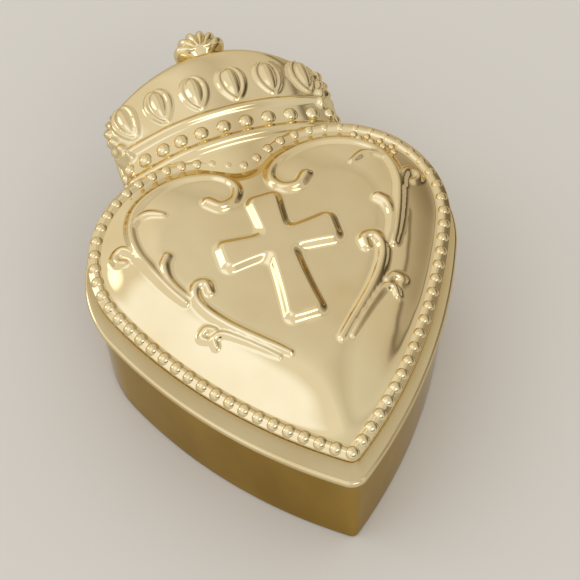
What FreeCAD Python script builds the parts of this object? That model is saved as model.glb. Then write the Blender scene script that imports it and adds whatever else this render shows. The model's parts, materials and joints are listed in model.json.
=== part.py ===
import FreeCAD, Part

import math
import os

from FreeCAD import Vector

# Wind-up music box: a heart-and-crown ceramic keepsake box with a lift-off lid.
# An 18-note movement stands on the raised floor of the box, under a clear cover,
# and is wound by a wing key in the recess under that floor.
# Millimetres, +Z up, heart tip towards -Y, crown towards +Y, table at z = 0.

# Plan outline of the lid's lip
HALF_WIDTH = 62.0
LOBE_RADIUS = 39.5
TIP_REACH = 88.5
FLANK_RADIUS = 176.0
TIP_ROUND = 6.0
NOTCH_ROUND = 3.0
CROWN_HALF = 38.5
CROWN_APEX = 79.0
CROWN_ARC = 56.0
CROWN_CORNER = 10.0
CROWN_JOIN_ROUND = 3.0
LEAST_ROUND = 1.0

# Box: heights, walls and the fit of lid to box
SEAM_Z = 44.6
FLOOR_Z = 18.0
FLOOR_THICK = 4.0
FOOT_INSET = 3.5
RIM_INSET = 2.5
BOX_WALL = 4.7
LID_GAP = 0.6
SPIGOT_THICK = 2.4
SPIGOT_DEPTH = 4.0

# Lid: lip, cove, bead ledge, dome and crown pillow
LIP_HEIGHT = 2.3
LIP_EASE = 0.5
COVE_DEPTH = 3.0
LEDGE_RISE = 14.9
LEDGE_INSET = 2.4
DOME_INSET = 7.2
DOME_FLAT_INSET = 27.0
DOME_RISE = 7.0
LID_WALL = 5.0
CROWN_SIDE_INSET = 1.2
CROWN_TOP_RISE = 17.2
CROWN_CENTRE_Y = 56.0
CROWN_PILLOW = 110.0
CROWN_ROOT_Y = 18.0

# Relief of the lid
BEAD_PITCH = 5.2
BEAD_RADIUS = 2.35
BEAD_HEIGHT = 2.3
BEAD_INSET = 4.8
BEAD_SIDES = 8
CROSS_HEAD_Y = 10.0
CROSS_FOOT_Y = -38.0
CROSS_ARM_Y = -8.2
CROSS_ARM_HALF = 20.5
CROSS_BAR_HALF = 5.2
CROSS_END_HALF = 6.6
CROSS_BEVEL = 1.4
CROSS_RISE = 2.0
SCROLL_INSET = 17.0
SCROLL_WIDTH = 2.6
SCROLL_RISE = 1.3
SCROLL_X = 12.5
SCROLL_Y = 15.5
SCROLL_CURL = 6.5
SCROLL_LOW_X = 29.0
SCROLL_LOW_Y = -31.0
SCROLL_END_X = 9.0
SCROLL_END_Y = -50.0
BAND_Y = 44.0
BAND_HALF = 34.0
BAND_RIDGE_WIDTH = 3.0
BAND_RIDGE_SPACING = 10.0
BAND_RISE = 1.5
BAND_BEAD_PITCH = 6.6
BAND_BEADS = 9
JEWEL_Y = 59.5
JEWEL_PITCH = 11.6
JEWELS = 6
JEWEL_RADIUS = 3.7
JEWEL_POINT = 7.5
JEWEL_RISE = 1.7
FINIAL_HALF = 9.0
FINIAL_LOBES = 5
FINIAL_ROOT_Y = 75.0
FINIAL_LOW = 4.5
FINIAL_HIGH = 13.0

# Movement: position, fits, winding and spring
MOVEMENT_Y = -8.0
ARBOR_X = -15.0
RUNNING_FIT = 0.05
BED_HALF_Y = 25.0
BED_X0 = -29.0
BED_X1 = 31.0
BED_THICK = 2.5
ARBOR_RADIUS = 2.0
HOUSING_RADIUS = 12.0
HOUSING_HEIGHT = 9.0
SHEET = 1.0
SPRING_STRIP = 0.4
SPRING_TURNS = 6
SPRING_CORE = 3.2
KEY_HALF = 14.0
KEY_WING_RADIUS = 4.6
KEY_THICK = 1.8
KEY_CLEAR = 1.6
KEY_COLLAR = 3.6
BUSH_RADIUS = 4.5
BUSH_FLANGE = 6.5

# Movement: face wheel on the arbor and pinion on the cylinder arbor
FACE_MODULE = 0.8
FACE_TEETH = 28
PINION_TEETH = 8
FACE_WIDTH = 1.6
FACE_ADDENDUM = 0.55
FACE_DEDENDUM = 1.1
FACE_PLANE = 14.0
FACE_DISC = 1.2

# Movement: pinned cylinder and comb
DRUM_X0 = 0.3
DRUM_LENGTH = 17.0
DRUM_RADIUS = 6.5
DRUM_WALL = 0.9
PIN_RISE = 0.8
PIN_SINK = 0.3
PIN_SIDE = 0.4
PIN_STEPS = 60
AXLE_RADIUS = 1.0
NOTES = 18
NOTE_PITCH = 0.92
NOTE_GAP = 0.25
PLUCK_GAP = 0.15
COMB_ROOT_Y = -18.5
COMB_BACK_Y = -24.0
COMB_THICK = 1.8
TOOTH_THICK = 0.7

# Movement: governor train, worm and air brake
WHEEL_MODULE = 0.5
WHEEL_TEETH = 32
GOVERNOR_TEETH = 8
WHEEL_THICK = 1.5
WHEEL_X = 18.0
WORM_MODULE = 0.6
WORM_WHEEL_TEETH = 20
WORM_RADIUS = 2.0
WORM_X = 24.8
WORM_TURNS = 5
WORM_SIDES = 16
WORM_PHASE = 90.0
PIVOT = 0.5
GOVERNOR_AXLE = 0.8
FAN_REACH = 5.2
FAN_LOW = 4.2
FAN_HEIGHT = 5.0
PLATE = 1.5
FOOT_PLATE = 1.2
CHEEK_GAP = 1.0

# Movement: stop lever and cover
LEVER_X = 12.0
LEVER_V = 20.0
LEVER_LOW = 6.0
LEVER_GAP = 0.35
LEVER_SWING = 25.0
LEVER_TAB = 11.0
LEVER_HALF = 2.0
POST_RADIUS = 1.5
COVER_WALL = 1.5
COVER_GAP = 0.5
COVER_HEIGHT = 28.0
SCREW_RADIUS = 1.2
SCREW_HEAD = 2.1

# Heights and axes that follow from the sizes above
LOBE_X = HALF_WIDTH - LOBE_RADIUS
BOX_INSET = RIM_INSET + BOX_WALL
SPIGOT_INSET = BOX_INSET + LID_GAP
SPIGOT_INNER = SPIGOT_INSET + SPIGOT_THICK
LIP_Z = SEAM_Z + LIP_HEIGHT
LEDGE_Z = SEAM_Z + LEDGE_RISE
DOME_Z = LEDGE_Z + DOME_RISE
CROWN_TOP_Z = SEAM_Z + CROWN_TOP_RISE
PILLOW_CENTRE = Vector(0, CROWN_CENTRE_Y, CROWN_TOP_Z - CROWN_PILLOW)
BED_Z = FLOOR_Z + BED_THICK
HOUSING_Z = BED_Z + HOUSING_HEIGHT
FACE_RADIUS = FACE_MODULE * FACE_TEETH / 2
PINION_RADIUS = FACE_MODULE * PINION_TEETH / 2
FACE_Z = FLOOR_Z + FACE_PLANE
AXIS_Z = FACE_Z + PINION_RADIUS
WHEEL_RADIUS = WHEEL_MODULE * WHEEL_TEETH / 2
GOVERNOR_RADIUS = WHEEL_MODULE * GOVERNOR_TEETH / 2
GOVERNOR_Y = MOVEMENT_Y + WHEEL_RADIUS + GOVERNOR_RADIUS
WORM_WHEEL_RADIUS = WORM_MODULE * WORM_WHEEL_TEETH / 2
WORM_Y = GOVERNOR_Y + WORM_WHEEL_RADIUS + WORM_RADIUS
WORM_LEAD = math.pi * WORM_MODULE
COMB_Z = AXIS_Z - COMB_THICK / 2
LEVER_Y = MOVEMENT_Y + LEVER_V
LEVER_Z = FLOOR_Z + LEVER_LOW


# Plane geometry of the outline
def lobe_centre():
    return Vector(LOBE_X, 0, 0)


def flank_centre():
    """Centre of the right flank's arc: inside the lobe circle's tangent and through the tip."""
    reach = FLANK_RADIUS - LOBE_RADIUS
    k = FLANK_RADIUS ** 2 - reach ** 2
    p = (k + LOBE_X ** 2 - TIP_REACH ** 2) / (2 * TIP_REACH)
    q = -LOBE_X / TIP_REACH
    a = 1 + q * q
    b = 2 * q * (p + TIP_REACH)
    c = (p + TIP_REACH) ** 2 - FLANK_RADIUS ** 2
    x = (-b - math.sqrt(b * b - 4 * a * c)) / (2 * a)
    return Vector(x, p + q * x, 0)


def toward(start, target, distance):
    step = target - start
    step.normalize()
    return start + step * distance


def arc(centre, start, end):
    """Short arc about a centre from one point to another."""
    middle = (start + end) * 0.5
    radius = (start - centre).Length
    return Part.Arc(start, toward(centre, middle, radius), end).toShape()


def flip(point):
    return Vector(-point.x, point.y, point.z)


def tip_points(inset):
    """Centre of the tip round and its tangent point on the right flank."""
    flank = flank_centre()
    reach = FLANK_RADIUS - inset
    radius = max(TIP_ROUND - inset, LEAST_ROUND)
    y = flank.y - math.sqrt((reach - radius) ** 2 - flank.x ** 2)
    centre = Vector(0, y, 0)
    return centre, toward(flank, centre, reach), radius


def right_side(inset):
    """Tangent points up the right side: tip, flank to lobe."""
    flank = flank_centre()
    centre, tip, radius = tip_points(inset)
    lobe = toward(flank, lobe_centre(), FLANK_RADIUS - inset)
    return centre, tip, lobe


def heart_wire(inset, z):
    """Heart outline moved in by inset, at height z."""
    flank = flank_centre()
    lobe_c = lobe_centre()
    tip_c, tip, lobe = right_side(inset)
    notch_c = Vector(0, math.sqrt((LOBE_RADIUS + NOTCH_ROUND) ** 2 - LOBE_X ** 2), 0)
    notch = toward(lobe_c, notch_c, LOBE_RADIUS - inset)
    far = Vector(LOBE_X + LOBE_RADIUS - inset, 0, 0)
    top = Vector(LOBE_X, LOBE_RADIUS - inset, 0)
    turn = toward(lobe_c, (far + top) * 0.5, LOBE_RADIUS - inset)
    edges = [
        arc(tip_c, flip(tip), tip),
        arc(flank, tip, lobe),
        Part.Arc(lobe, turn, notch).toShape(),
        arc(notch_c, notch, flip(notch)),
        Part.Arc(flip(notch), flip(turn), flip(lobe)).toShape(),
        arc(flip(flank), flip(lobe), flip(tip)),
    ]
    wire = Part.Wire(edges)
    wire.translate(Vector(0, 0, z))
    return wire


def crown_points(inset):
    """Side and corner points of the crown's right half."""
    side = CROWN_HALF - inset
    radius = max(CROWN_CORNER - inset, LEAST_ROUND)
    arc_c = Vector(0, CROWN_APEX - CROWN_ARC, 0)
    reach = CROWN_ARC - inset
    x = side - radius
    corner_c = Vector(x, arc_c.y + math.sqrt((reach - radius) ** 2 - x * x), 0)
    return Vector(side, corner_c.y, 0), corner_c, toward(arc_c, corner_c, reach), arc_c


def crown_wire(inset, z):
    """Crown outline moved in by inset, closed by a straight foot inside the heart."""
    low, corner_c, high, arc_c = crown_points(inset)
    foot = Vector(low.x, CROWN_ROOT_Y, 0)
    edges = [
        Part.makeLine(flip(foot), foot),
        Part.makeLine(foot, low),
        arc(corner_c, low, high),
        arc(arc_c, high, flip(high)),
        arc(flip(corner_c), flip(high), flip(low)),
        Part.makeLine(flip(low), flip(foot)),
    ]
    wire = Part.Wire(edges)
    wire.translate(Vector(0, 0, z))
    return wire


def outline_wire(inset, z):
    """Heart and crown in one outline moved in by inset."""
    flank = flank_centre()
    lobe_c = lobe_centre()
    tip_c, tip, lobe = right_side(inset)
    join_x = CROWN_HALF + CROWN_JOIN_ROUND
    join_y = math.sqrt((LOBE_RADIUS + CROWN_JOIN_ROUND) ** 2 - (join_x - LOBE_X) ** 2)
    join_c = Vector(join_x, join_y, 0)
    leave = toward(lobe_c, join_c, LOBE_RADIUS - inset)
    start = Vector(CROWN_HALF - inset, join_y, 0)
    low, corner_c, high, arc_c = crown_points(inset)
    edges = [
        arc(tip_c, flip(tip), tip),
        arc(flank, tip, lobe),
        arc(lobe_c, lobe, leave),
        arc(join_c, leave, start),
        Part.makeLine(start, low),
        arc(corner_c, low, high),
        arc(arc_c, high, flip(high)),
        arc(flip(corner_c), flip(high), flip(low)),
        Part.makeLine(flip(low), flip(start)),
        arc(flip(join_c), flip(start), flip(leave)),
        arc(flip(lobe_c), flip(leave), flip(lobe)),
        arc(flip(flank), flip(lobe), flip(tip)),
    ]
    wire = Part.Wire(edges)
    wire.translate(Vector(0, 0, z))
    return wire


# Solid helpers
def stack(wire_at, sections):
    """Solid through one outline at several heights and insets."""
    return Part.makeLoft([wire_at(inset, z) for z, inset in sections], True, True)


def box(x0, x1, y0, y1, z0, z1):
    return Part.makeBox(x1 - x0, y1 - y0, z1 - z0, Vector(x0, y0, z0))


def rod(radius, x, y, z0, z1):
    return Part.makeCylinder(radius, z1 - z0, Vector(x, y, z0))


def rod_x(radius, y, z, x0, x1):
    return Part.makeCylinder(radius, x1 - x0, Vector(x0, y, z), Vector(1, 0, 0))


def prism(points, z0, z1):
    """Upright prism over a polygon of plan points."""
    ring = [Vector(x, y, z0) for x, y in points]
    face = Part.Face(Part.makePolygon(ring + ring[:1]))
    return face.extrude(Vector(0, 0, z1 - z0))


def join(shapes):
    return shapes[0].multiFuse(shapes[1:]).removeSplitter()


def save(name, shape):
    solids = shape.Solids
    result = solids[0] if len(solids) == 1 else Part.makeCompound(solids)
    result.exportStep("parts/" + name + ".step")


def screw(x, y, seat, length, up):
    """Pan-head screw: head on the seat, shank away from it."""
    side = 1 if up else -1
    axis = Vector(0, 0, side)
    head = Part.makeCylinder(SCREW_HEAD, SCREW_RADIUS, Vector(x, y, seat), axis)
    shank = Part.makeCylinder(SCREW_RADIUS, length, Vector(x, y, seat), axis * -1)
    return head.fuse(shank)


# Box
def base_shell():
    body = stack(outline_wire, [(0, FOOT_INSET), (SEAM_Z, RIM_INSET)])
    cavity = stack(outline_wire, [(FLOOR_Z, BOX_INSET), (SEAM_Z + 1, BOX_INSET)])
    recess = stack(outline_wire, [(-1, BOX_INSET), (FLOOR_Z - FLOOR_THICK, BOX_INSET)])
    body = body.cut(cavity).cut(recess)
    body = body.cut(rod(BUSH_RADIUS, ARBOR_X, MOVEMENT_Y, 0, FLOOR_Z + 1))
    for x, y in mount_points():
        body = body.cut(rod(SCREW_RADIUS + LEVER_GAP, x, y, 0, FLOOR_Z + 1))
    return body


# Lid
def dome_sections(lift):
    """Heights and insets up the dome, from the ledge to the flat middle."""
    steps = 5
    sections = []
    for i in range(steps + 1):
        t = i / steps
        inset = DOME_INSET + (DOME_FLAT_INSET - DOME_INSET) * t
        sections.append((LEDGE_Z + lift + DOME_RISE * (1 - (1 - t) ** 2), inset))
    return sections


def lip_sections(inset):
    """Eased lip, the same on heart and crown."""
    return [
        (SEAM_Z, LIP_EASE),
        (SEAM_Z + LIP_EASE, 0),
        (LIP_Z - LIP_EASE, 0),
        (LIP_Z, inset / 4),
    ]


def heart_body():
    cove = lip_sections(COVE_DEPTH) + [
        (LIP_Z + LEDGE_RISE / 6, COVE_DEPTH * 0.7),
        (LIP_Z + LEDGE_RISE / 2.5, COVE_DEPTH),
        (LEDGE_Z - LIP_HEIGHT, COVE_DEPTH),
        (LEDGE_Z, LEDGE_INSET),
    ]
    dome = [(LEDGE_Z - 1, DOME_INSET)] + dome_sections(0)
    return stack(heart_wire, cove).fuse(stack(heart_wire, dome))


def crown_body(lift):
    """Crown pillow: upright sides eased into a shallow spherical top."""
    side = CROWN_SIDE_INSET
    sections = lip_sections(side * 4) + [
        (CROWN_TOP_Z - 7, side),
        (CROWN_TOP_Z - 4, side + 1.4),
        (CROWN_TOP_Z - 1.5, side + 4.2),
        (CROWN_TOP_Z + 1, side + 9),
    ]
    shape = stack(crown_wire, sections)
    return shape.common(Part.makeSphere(CROWN_PILLOW + lift, PILLOW_CENTRE))


def lid_outside():
    return heart_body().fuse(crown_body(0)).removeSplitter()


def lid_shell(outside):
    top = LEDGE_Z - LID_WALL
    heart_hollow = stack(heart_wire, [
        (SEAM_Z - SPIGOT_DEPTH, SPIGOT_INNER),
        (top, SPIGOT_INNER),
        (top + DOME_RISE * 0.55, DOME_INSET + LID_WALL + 4),
        (DOME_Z - LID_WALL, DOME_FLAT_INSET),
    ])
    crown_hollow = stack(crown_wire, [
        (SEAM_Z - SPIGOT_DEPTH, SPIGOT_INNER),
        (CROWN_TOP_Z - LID_WALL - 3, SPIGOT_INNER),
    ])
    spigot = stack(outline_wire, [
        (SEAM_Z - SPIGOT_DEPTH, SPIGOT_INSET),
        (SEAM_Z + LIP_EASE, SPIGOT_INSET),
    ])
    return outside.fuse(spigot).cut(heart_hollow.fuse(crown_hollow))


def bead(foot, axis, sink):
    """Domed bead in flat facets, its foot sunk below the surface it stands on."""
    turn = FreeCAD.Rotation(Vector(0, 0, 1), axis)
    rings = []
    for rise, share in ((-sink, 1.0), (BEAD_HEIGHT * 0.5, 0.93), (BEAD_HEIGHT, 0.45)):
        ring = []
        for i in range(BEAD_SIDES):
            angle = 2 * math.pi * i / BEAD_SIDES
            x = BEAD_RADIUS * share * math.cos(angle)
            y = BEAD_RADIUS * share * math.sin(angle)
            ring.append(foot + turn.multVec(Vector(x, y, rise)))
        rings.append(Part.makePolygon(ring + ring[:1]))
    return Part.makeLoft(rings, True, True)


def lid_bead_border():
    ring = heart_wire(BEAD_INSET, LEDGE_Z)
    count = round(ring.Length / BEAD_PITCH)
    up = Vector(0, 0, 1)
    return Part.makeCompound([bead(point, up, 0) for point in ring.discretize(Number=count + 1)[:-1]])


def cross_points(trim):
    """Plan of the cross with flared ends, moved in by trim."""
    bar = CROSS_BAR_HALF - trim
    end = CROSS_END_HALF - trim
    arm = CROSS_ARM_HALF - trim
    head = CROSS_HEAD_Y - trim
    foot = CROSS_FOOT_Y + trim
    right = [
        (end, foot),
        (bar, CROSS_ARM_Y - bar),
        (arm, CROSS_ARM_Y - end),
        (arm, CROSS_ARM_Y + end),
        (bar, CROSS_ARM_Y + bar),
        (end, head),
    ]
    return right + [(-x, y) for x, y in reversed(right)]


def lid_cross(outside):
    low = LEDGE_Z + DOME_RISE / 2
    high = DOME_Z + CROSS_RISE
    rings = []
    for z, trim in ((low, 0), (high - CROSS_BEVEL, 0), (high, CROSS_BEVEL)):
        ring = [Vector(x, y, z) for x, y in cross_points(trim)]
        rings.append(Part.makePolygon(ring + ring[:1]))
    return Part.makeLoft(rings, True, True).cut(outside)


def scroll_paths():
    """Right-hand scrolls as chains of arcs: a curl, the lobe's sweep, the flank and a lower branch."""
    curl = SCROLL_CURL
    eye = Vector(SCROLL_X, SCROLL_Y, 0)
    crest = eye + Vector(0, curl, 0)
    outer = Vector(HALF_WIDTH - SCROLL_INSET, LOBE_RADIUS / 5, 0)
    lobe_mid = toward(lobe_centre(), Vector(HALF_WIDTH, LOBE_RADIUS, 0), LOBE_RADIUS - SCROLL_INSET)
    low = Vector(SCROLL_LOW_X, SCROLL_LOW_Y, 0)
    end = Vector(SCROLL_END_X, SCROLL_END_Y, 0)
    shoulder = toward(flank_centre(), low, FLANK_RADIUS - SCROLL_INSET)
    waist = toward(flank_centre(), (outer + shoulder) * 0.5, FLANK_RADIUS - SCROLL_INSET)
    hook = eye + Vector(-curl * 0.6, -curl * 0.8, 0)
    upper = [
        Part.Arc(hook, eye + Vector(-curl, 0, 0), crest).toShape(),
        Part.Arc(crest, lobe_mid, outer).toShape(),
        Part.Arc(outer, waist, shoulder).toShape(),
    ]
    chord = end - low
    bow = (low + end) * 0.5 + Vector(-chord.y, chord.x, 0) * 0.1
    small = curl * 0.55
    low_eye = low + Vector(-small, small * 0.4, 0)
    lower = [
        Part.Arc(low_eye + Vector(-small, -small * 0.4, 0), low_eye + Vector(0, small, 0), low).toShape(),
        Part.Arc(low, bow, end).toShape(),
    ]
    return upper, lower


def lid_scrolls(outside):
    raised = stack(heart_wire, [(LEDGE_Z, DOME_INSET)] + dome_sections(SCROLL_RISE))
    parts = []
    for path in scroll_paths():
        rim = Part.Wire(path).makeOffset2D(SCROLL_WIDTH / 2, 0, False, False)
        rib = Part.Face(rim).extrude(Vector(0, 0, DOME_Z + SCROLL_RISE))
        rib = rib.common(raised).cut(outside)
        parts += [rib, rib.mirror(Vector(0, 0, 0), Vector(1, 0, 0))]
    return Part.makeCompound([solid for part in parts for solid in part.Solids])


def crown_band(outside):
    raised = crown_body(BAND_RISE)
    parts = []
    for side in (-1, 1):
        y = BAND_Y + side * BAND_RIDGE_SPACING / 2
        half = BAND_RIDGE_WIDTH / 2
        bar = box(-BAND_HALF, BAND_HALF, y - half, y + half, LIP_Z, CROWN_TOP_Z + BAND_RISE)
        parts.append(bar.common(raised).cut(outside))
    for i in range(BAND_BEADS):
        x = (i - (BAND_BEADS - 1) / 2) * BAND_BEAD_PITCH
        foot = Vector(x, BAND_Y, 0)
        foot.z = PILLOW_CENTRE.z + math.sqrt(CROWN_PILLOW ** 2 - x * x - (BAND_Y - CROWN_CENTRE_Y) ** 2)
        axis = foot - PILLOW_CENTRE
        axis.normalize()
        parts.append(bead(foot, axis, 1.0).cut(outside))
    return Part.makeCompound([solid for part in parts for solid in part.Solids])


def crown_jewels(outside):
    raised = crown_body(JEWEL_RISE)
    parts = []
    for i in range(JEWELS):
        x = (i - (JEWELS - 1) / 2) * JEWEL_PITCH
        rise = math.acos(JEWEL_RADIUS / JEWEL_POINT)
        across = JEWEL_RADIUS * math.sin(rise)
        down = JEWEL_RADIUS * math.cos(rise)
        left = Vector(x - across, JEWEL_Y - down, LIP_Z)
        right = Vector(x + across, JEWEL_Y - down, LIP_Z)
        point = Vector(x, JEWEL_Y - JEWEL_POINT, LIP_Z)
        crest = Vector(x, JEWEL_Y + JEWEL_RADIUS, LIP_Z)
        edges = [
            Part.makeLine(point, right),
            Part.Arc(right, crest, left).toShape(),
            Part.makeLine(left, point),
        ]
        drop = Part.Face(Part.Wire(edges)).extrude(Vector(0, 0, CROWN_TOP_RISE + JEWEL_RISE))
        parts.append(drop.common(raised).cut(outside))
    return Part.makeCompound([solid for part in parts for solid in part.Solids])


def finial_wire(scale, z):
    """Fan of flutes: its tip reaches as far behind the centre as the heart tip in front."""
    tip_c, tip, radius = tip_points(0)
    reach = radius - tip_c.y
    points = []
    depth = (reach - FINIAL_ROOT_Y) * scale
    for i in range(2 * FINIAL_LOBES + 1):
        angle = math.pi * (0.1 + 0.4 * i / FINIAL_LOBES)
        swell = 1.0 if i % 2 else 0.86
        x = -FINIAL_HALF * scale * swell * math.cos(angle)
        y = FINIAL_ROOT_Y + depth * swell * math.sin(angle)
        points.append(Vector(x, y, z))
    return Part.makePolygon(points + points[:1])


def crown_finial(outside):
    rings = [
        finial_wire(0.75, SEAM_Z + FINIAL_LOW),
        finial_wire(1.0, SEAM_Z + FINIAL_LOW + 3),
        finial_wire(1.0, SEAM_Z + FINIAL_HIGH - 2.5),
        finial_wire(0.8, SEAM_Z + FINIAL_HIGH),
    ]
    return Part.makeLoft(rings, True, True).cut(outside)


# Movement frame
def mount_points():
    edge = 4.0
    xs = (BED_X0 + edge, BED_X1 - edge)
    ys = (MOVEMENT_Y - BED_HALF_Y + edge, MOVEMENT_Y + BED_HALF_Y - edge)
    return [(x, y) for x in xs for y in ys]


def comb_screw_points():
    y = MOVEMENT_Y + (COMB_ROOT_Y + COMB_BACK_Y) / 2
    spread = NOTES * NOTE_PITCH / 3
    middle = DRUM_X0 + DRUM_LENGTH / 2
    return [(middle - spread, y), (middle + spread, y)]


def frame_screw_points():
    return [
        (DRUM_X0 + 3.5, MOVEMENT_Y),
        (WHEEL_X - 3.0, MOVEMENT_Y),
        (WORM_X, GOVERNOR_Y - 2.0),
    ]


def bedplate():
    y0 = MOVEMENT_Y - BED_HALF_Y
    y1 = MOVEMENT_Y + BED_HALF_Y
    plate = box(BED_X0, BED_X1, y0, y1, FLOOR_Z, BED_Z)
    seat = box(
        DRUM_X0 - 1.5, DRUM_X0 + DRUM_LENGTH + 1.5,
        MOVEMENT_Y + COMB_BACK_Y, MOVEMENT_Y + COMB_ROOT_Y + 2.5,
        FLOOR_Z, COMB_Z,
    )
    plate = plate.fuse(seat).removeSplitter()
    plate = plate.cut(rod(ARBOR_RADIUS + RUNNING_FIT, ARBOR_X, MOVEMENT_Y, FLOOR_Z - 1, BED_Z + 1))
    plate = plate.cut(rod(PIVOT + RUNNING_FIT, WORM_X, WORM_Y, FLOOR_Z + 0.8, BED_Z + 1))
    for x, y in mount_points():
        plate = plate.cut(rod(SCREW_RADIUS, x, y, FLOOR_Z - 1, BED_Z + 1))
    for x, y in frame_screw_points():
        plate = plate.cut(rod(SCREW_RADIUS, x, y, FLOOR_Z - 1, BED_Z + 1))
    for x, y in comb_screw_points():
        plate = plate.cut(rod(SCREW_RADIUS, x, y, COMB_Z - 5, COMB_Z + 1))
    return plate.cut(rod(POST_RADIUS, LEVER_X, LEVER_Y, FLOOR_Z - 1, BED_Z + 1))


def left_cheek():
    x1 = DRUM_X0 - 0.8
    x0 = x1 - PLATE
    plate = box(x0, x1, MOVEMENT_Y - 6, MOVEMENT_Y + 6, BED_Z, AXIS_Z + 3.5)
    foot = box(x0, x1 + 7, MOVEMENT_Y - 5, MOVEMENT_Y + 5, BED_Z, BED_Z + FOOT_PLATE)
    shape = plate.fuse(foot).removeSplitter()
    shape = shape.cut(rod_x(AXLE_RADIUS + RUNNING_FIT, MOVEMENT_Y, AXIS_Z, x0 - 1, x1 + 1))
    x, y = frame_screw_points()[0]
    return shape.cut(rod(SCREW_RADIUS, x, y, BED_Z - 1, BED_Z + 3))


def cheek_x():
    return WHEEL_X + WHEEL_THICK + CHEEK_GAP


def right_cheek():
    x0 = cheek_x()
    x1 = x0 + PLATE
    plate = box(x0, x1, MOVEMENT_Y - 6, GOVERNOR_Y + 3, BED_Z, AXIS_Z + 3.5)
    foot = box(x0 - 8, x1, MOVEMENT_Y - 5, MOVEMENT_Y + 5, BED_Z, BED_Z + FOOT_PLATE)
    shape = plate.fuse(foot).removeSplitter()
    shape = shape.cut(rod_x(AXLE_RADIUS + RUNNING_FIT, MOVEMENT_Y, AXIS_Z, x0 - 1, x1 + 1))
    shape = shape.cut(rod_x(GOVERNOR_AXLE + RUNNING_FIT, GOVERNOR_Y, AXIS_Z, x0 - 1, x1 + 1))
    x, y = frame_screw_points()[1]
    return shape.cut(rod(SCREW_RADIUS, x, y, BED_Z - 1, BED_Z + 3))


def bracket_x():
    return WORM_X + WORM_RADIUS + WORM_MODULE + 0.6


def arm_z():
    return AXIS_Z + WORM_WHEEL_RADIUS + WORM_MODULE + 0.5


def governor_bracket():
    x0 = bracket_x()
    x1 = x0 + PLATE
    y0 = GOVERNOR_Y - 5
    y1 = GOVERNOR_Y + 3.2
    top = arm_z() + PLATE
    plate = box(x0, x1, y0, y1, BED_Z, top)
    foot = box(cheek_x() + PLATE + 0.4, x1, y0, y1, BED_Z, BED_Z + FOOT_PLATE)
    arm = box(WORM_X - 2.2, x1, y0, WORM_Y + 2.2, arm_z(), top)
    shape = join([plate, foot, arm])
    shape = shape.cut(rod_x(GOVERNOR_AXLE + RUNNING_FIT, GOVERNOR_Y, AXIS_Z, x0 - 1, x1 + 1))
    shape = shape.cut(rod(PIVOT + RUNNING_FIT, WORM_X, WORM_Y, arm_z() - 1, top + 1))
    x, y = frame_screw_points()[2]
    return shape.cut(rod(SCREW_RADIUS, x, y, BED_Z - 1, BED_Z + 3))


def key_bush():
    low = FLOOR_Z - FLOOR_THICK
    body = rod(BUSH_RADIUS, ARBOR_X, MOVEMENT_Y, low, FLOOR_Z)
    flange = rod(BUSH_FLANGE, ARBOR_X, MOVEMENT_Y, low - SHEET, low)
    bore = rod(ARBOR_RADIUS + RUNNING_FIT, ARBOR_X, MOVEMENT_Y, low - 2, FLOOR_Z + 1)
    return body.fuse(flange).cut(bore)


def movement_cover():
    gap = COVER_GAP
    x0 = BED_X0 - gap
    x1 = BED_X1 + gap
    y0 = MOVEMENT_Y - BED_HALF_Y - gap
    y1 = MOVEMENT_Y + BED_HALF_Y + gap
    wall = COVER_WALL
    top = FLOOR_Z + COVER_HEIGHT
    outer = box(x0 - wall, x1 + wall, y0 - wall, y1 + wall, FLOOR_Z, top)
    inner = box(x0, x1, y0, y1, FLOOR_Z - 1, top - wall)
    slide = (y1 + wall - LEVER_Y) * math.tan(math.radians(LEVER_SWING))
    slot = box(
        LEVER_X - LEVER_HALF - slide - 1.0, LEVER_X + LEVER_HALF + 0.6,
        y1 - 1, y1 + wall + 1, LEVER_Z - 1, LEVER_Z + SHEET + 1,
    )
    return outer.cut(inner).cut(slot)


# Winding key, arbor and spring
def winding_key():
    low = KEY_CLEAR
    middle = low + KEY_WING_RADIUS
    y0 = MOVEMENT_Y - KEY_THICK / 2
    collar = rod(KEY_COLLAR, ARBOR_X, MOVEMENT_Y, middle, key_top())
    parts = [collar]
    holes = []
    for side in (-1, 1):
        x = ARBOR_X + side * (KEY_HALF - KEY_WING_RADIUS)
        seat = Vector(x, y0, middle)
        along = Vector(0, 1, 0)
        parts.append(Part.makeCylinder(KEY_WING_RADIUS, KEY_THICK, seat, along))
        holes.append(Part.makeCylinder(KEY_WING_RADIUS * 0.45, KEY_THICK, seat, along))
    span = KEY_HALF - KEY_WING_RADIUS
    parts.append(box(ARBOR_X - span, ARBOR_X + span, y0, y0 + KEY_THICK, low + 1.6, low + 7.2))
    shape = join(parts)
    for hole in holes:
        shape = shape.cut(hole)
    return shape.cut(rod(ARBOR_RADIUS, ARBOR_X, MOVEMENT_Y, arbor_low(), key_top() + 1))


def key_top():
    return FLOOR_Z - FLOOR_THICK - SHEET - 0.4


def arbor_low():
    return key_top() - 4.0


def clip_z():
    return FACE_Z + FACE_ADDENDUM + 0.2


def winding_arbor():
    shaft = rod(ARBOR_RADIUS, ARBOR_X, MOVEMENT_Y, arbor_low(), clip_z() + 1.6)
    core = rod(SPRING_CORE, ARBOR_X, MOVEMENT_Y, BED_Z + 0.5, HOUSING_Z - SHEET - 0.3)
    return shaft.fuse(core)


def arbor_clip():
    ring = rod(ARBOR_RADIUS + 1.5, ARBOR_X, MOVEMENT_Y, clip_z(), clip_z() + 0.8)
    return ring.cut(rod(ARBOR_RADIUS, ARBOR_X, MOVEMENT_Y, clip_z() - 1, clip_z() + 2))


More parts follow.
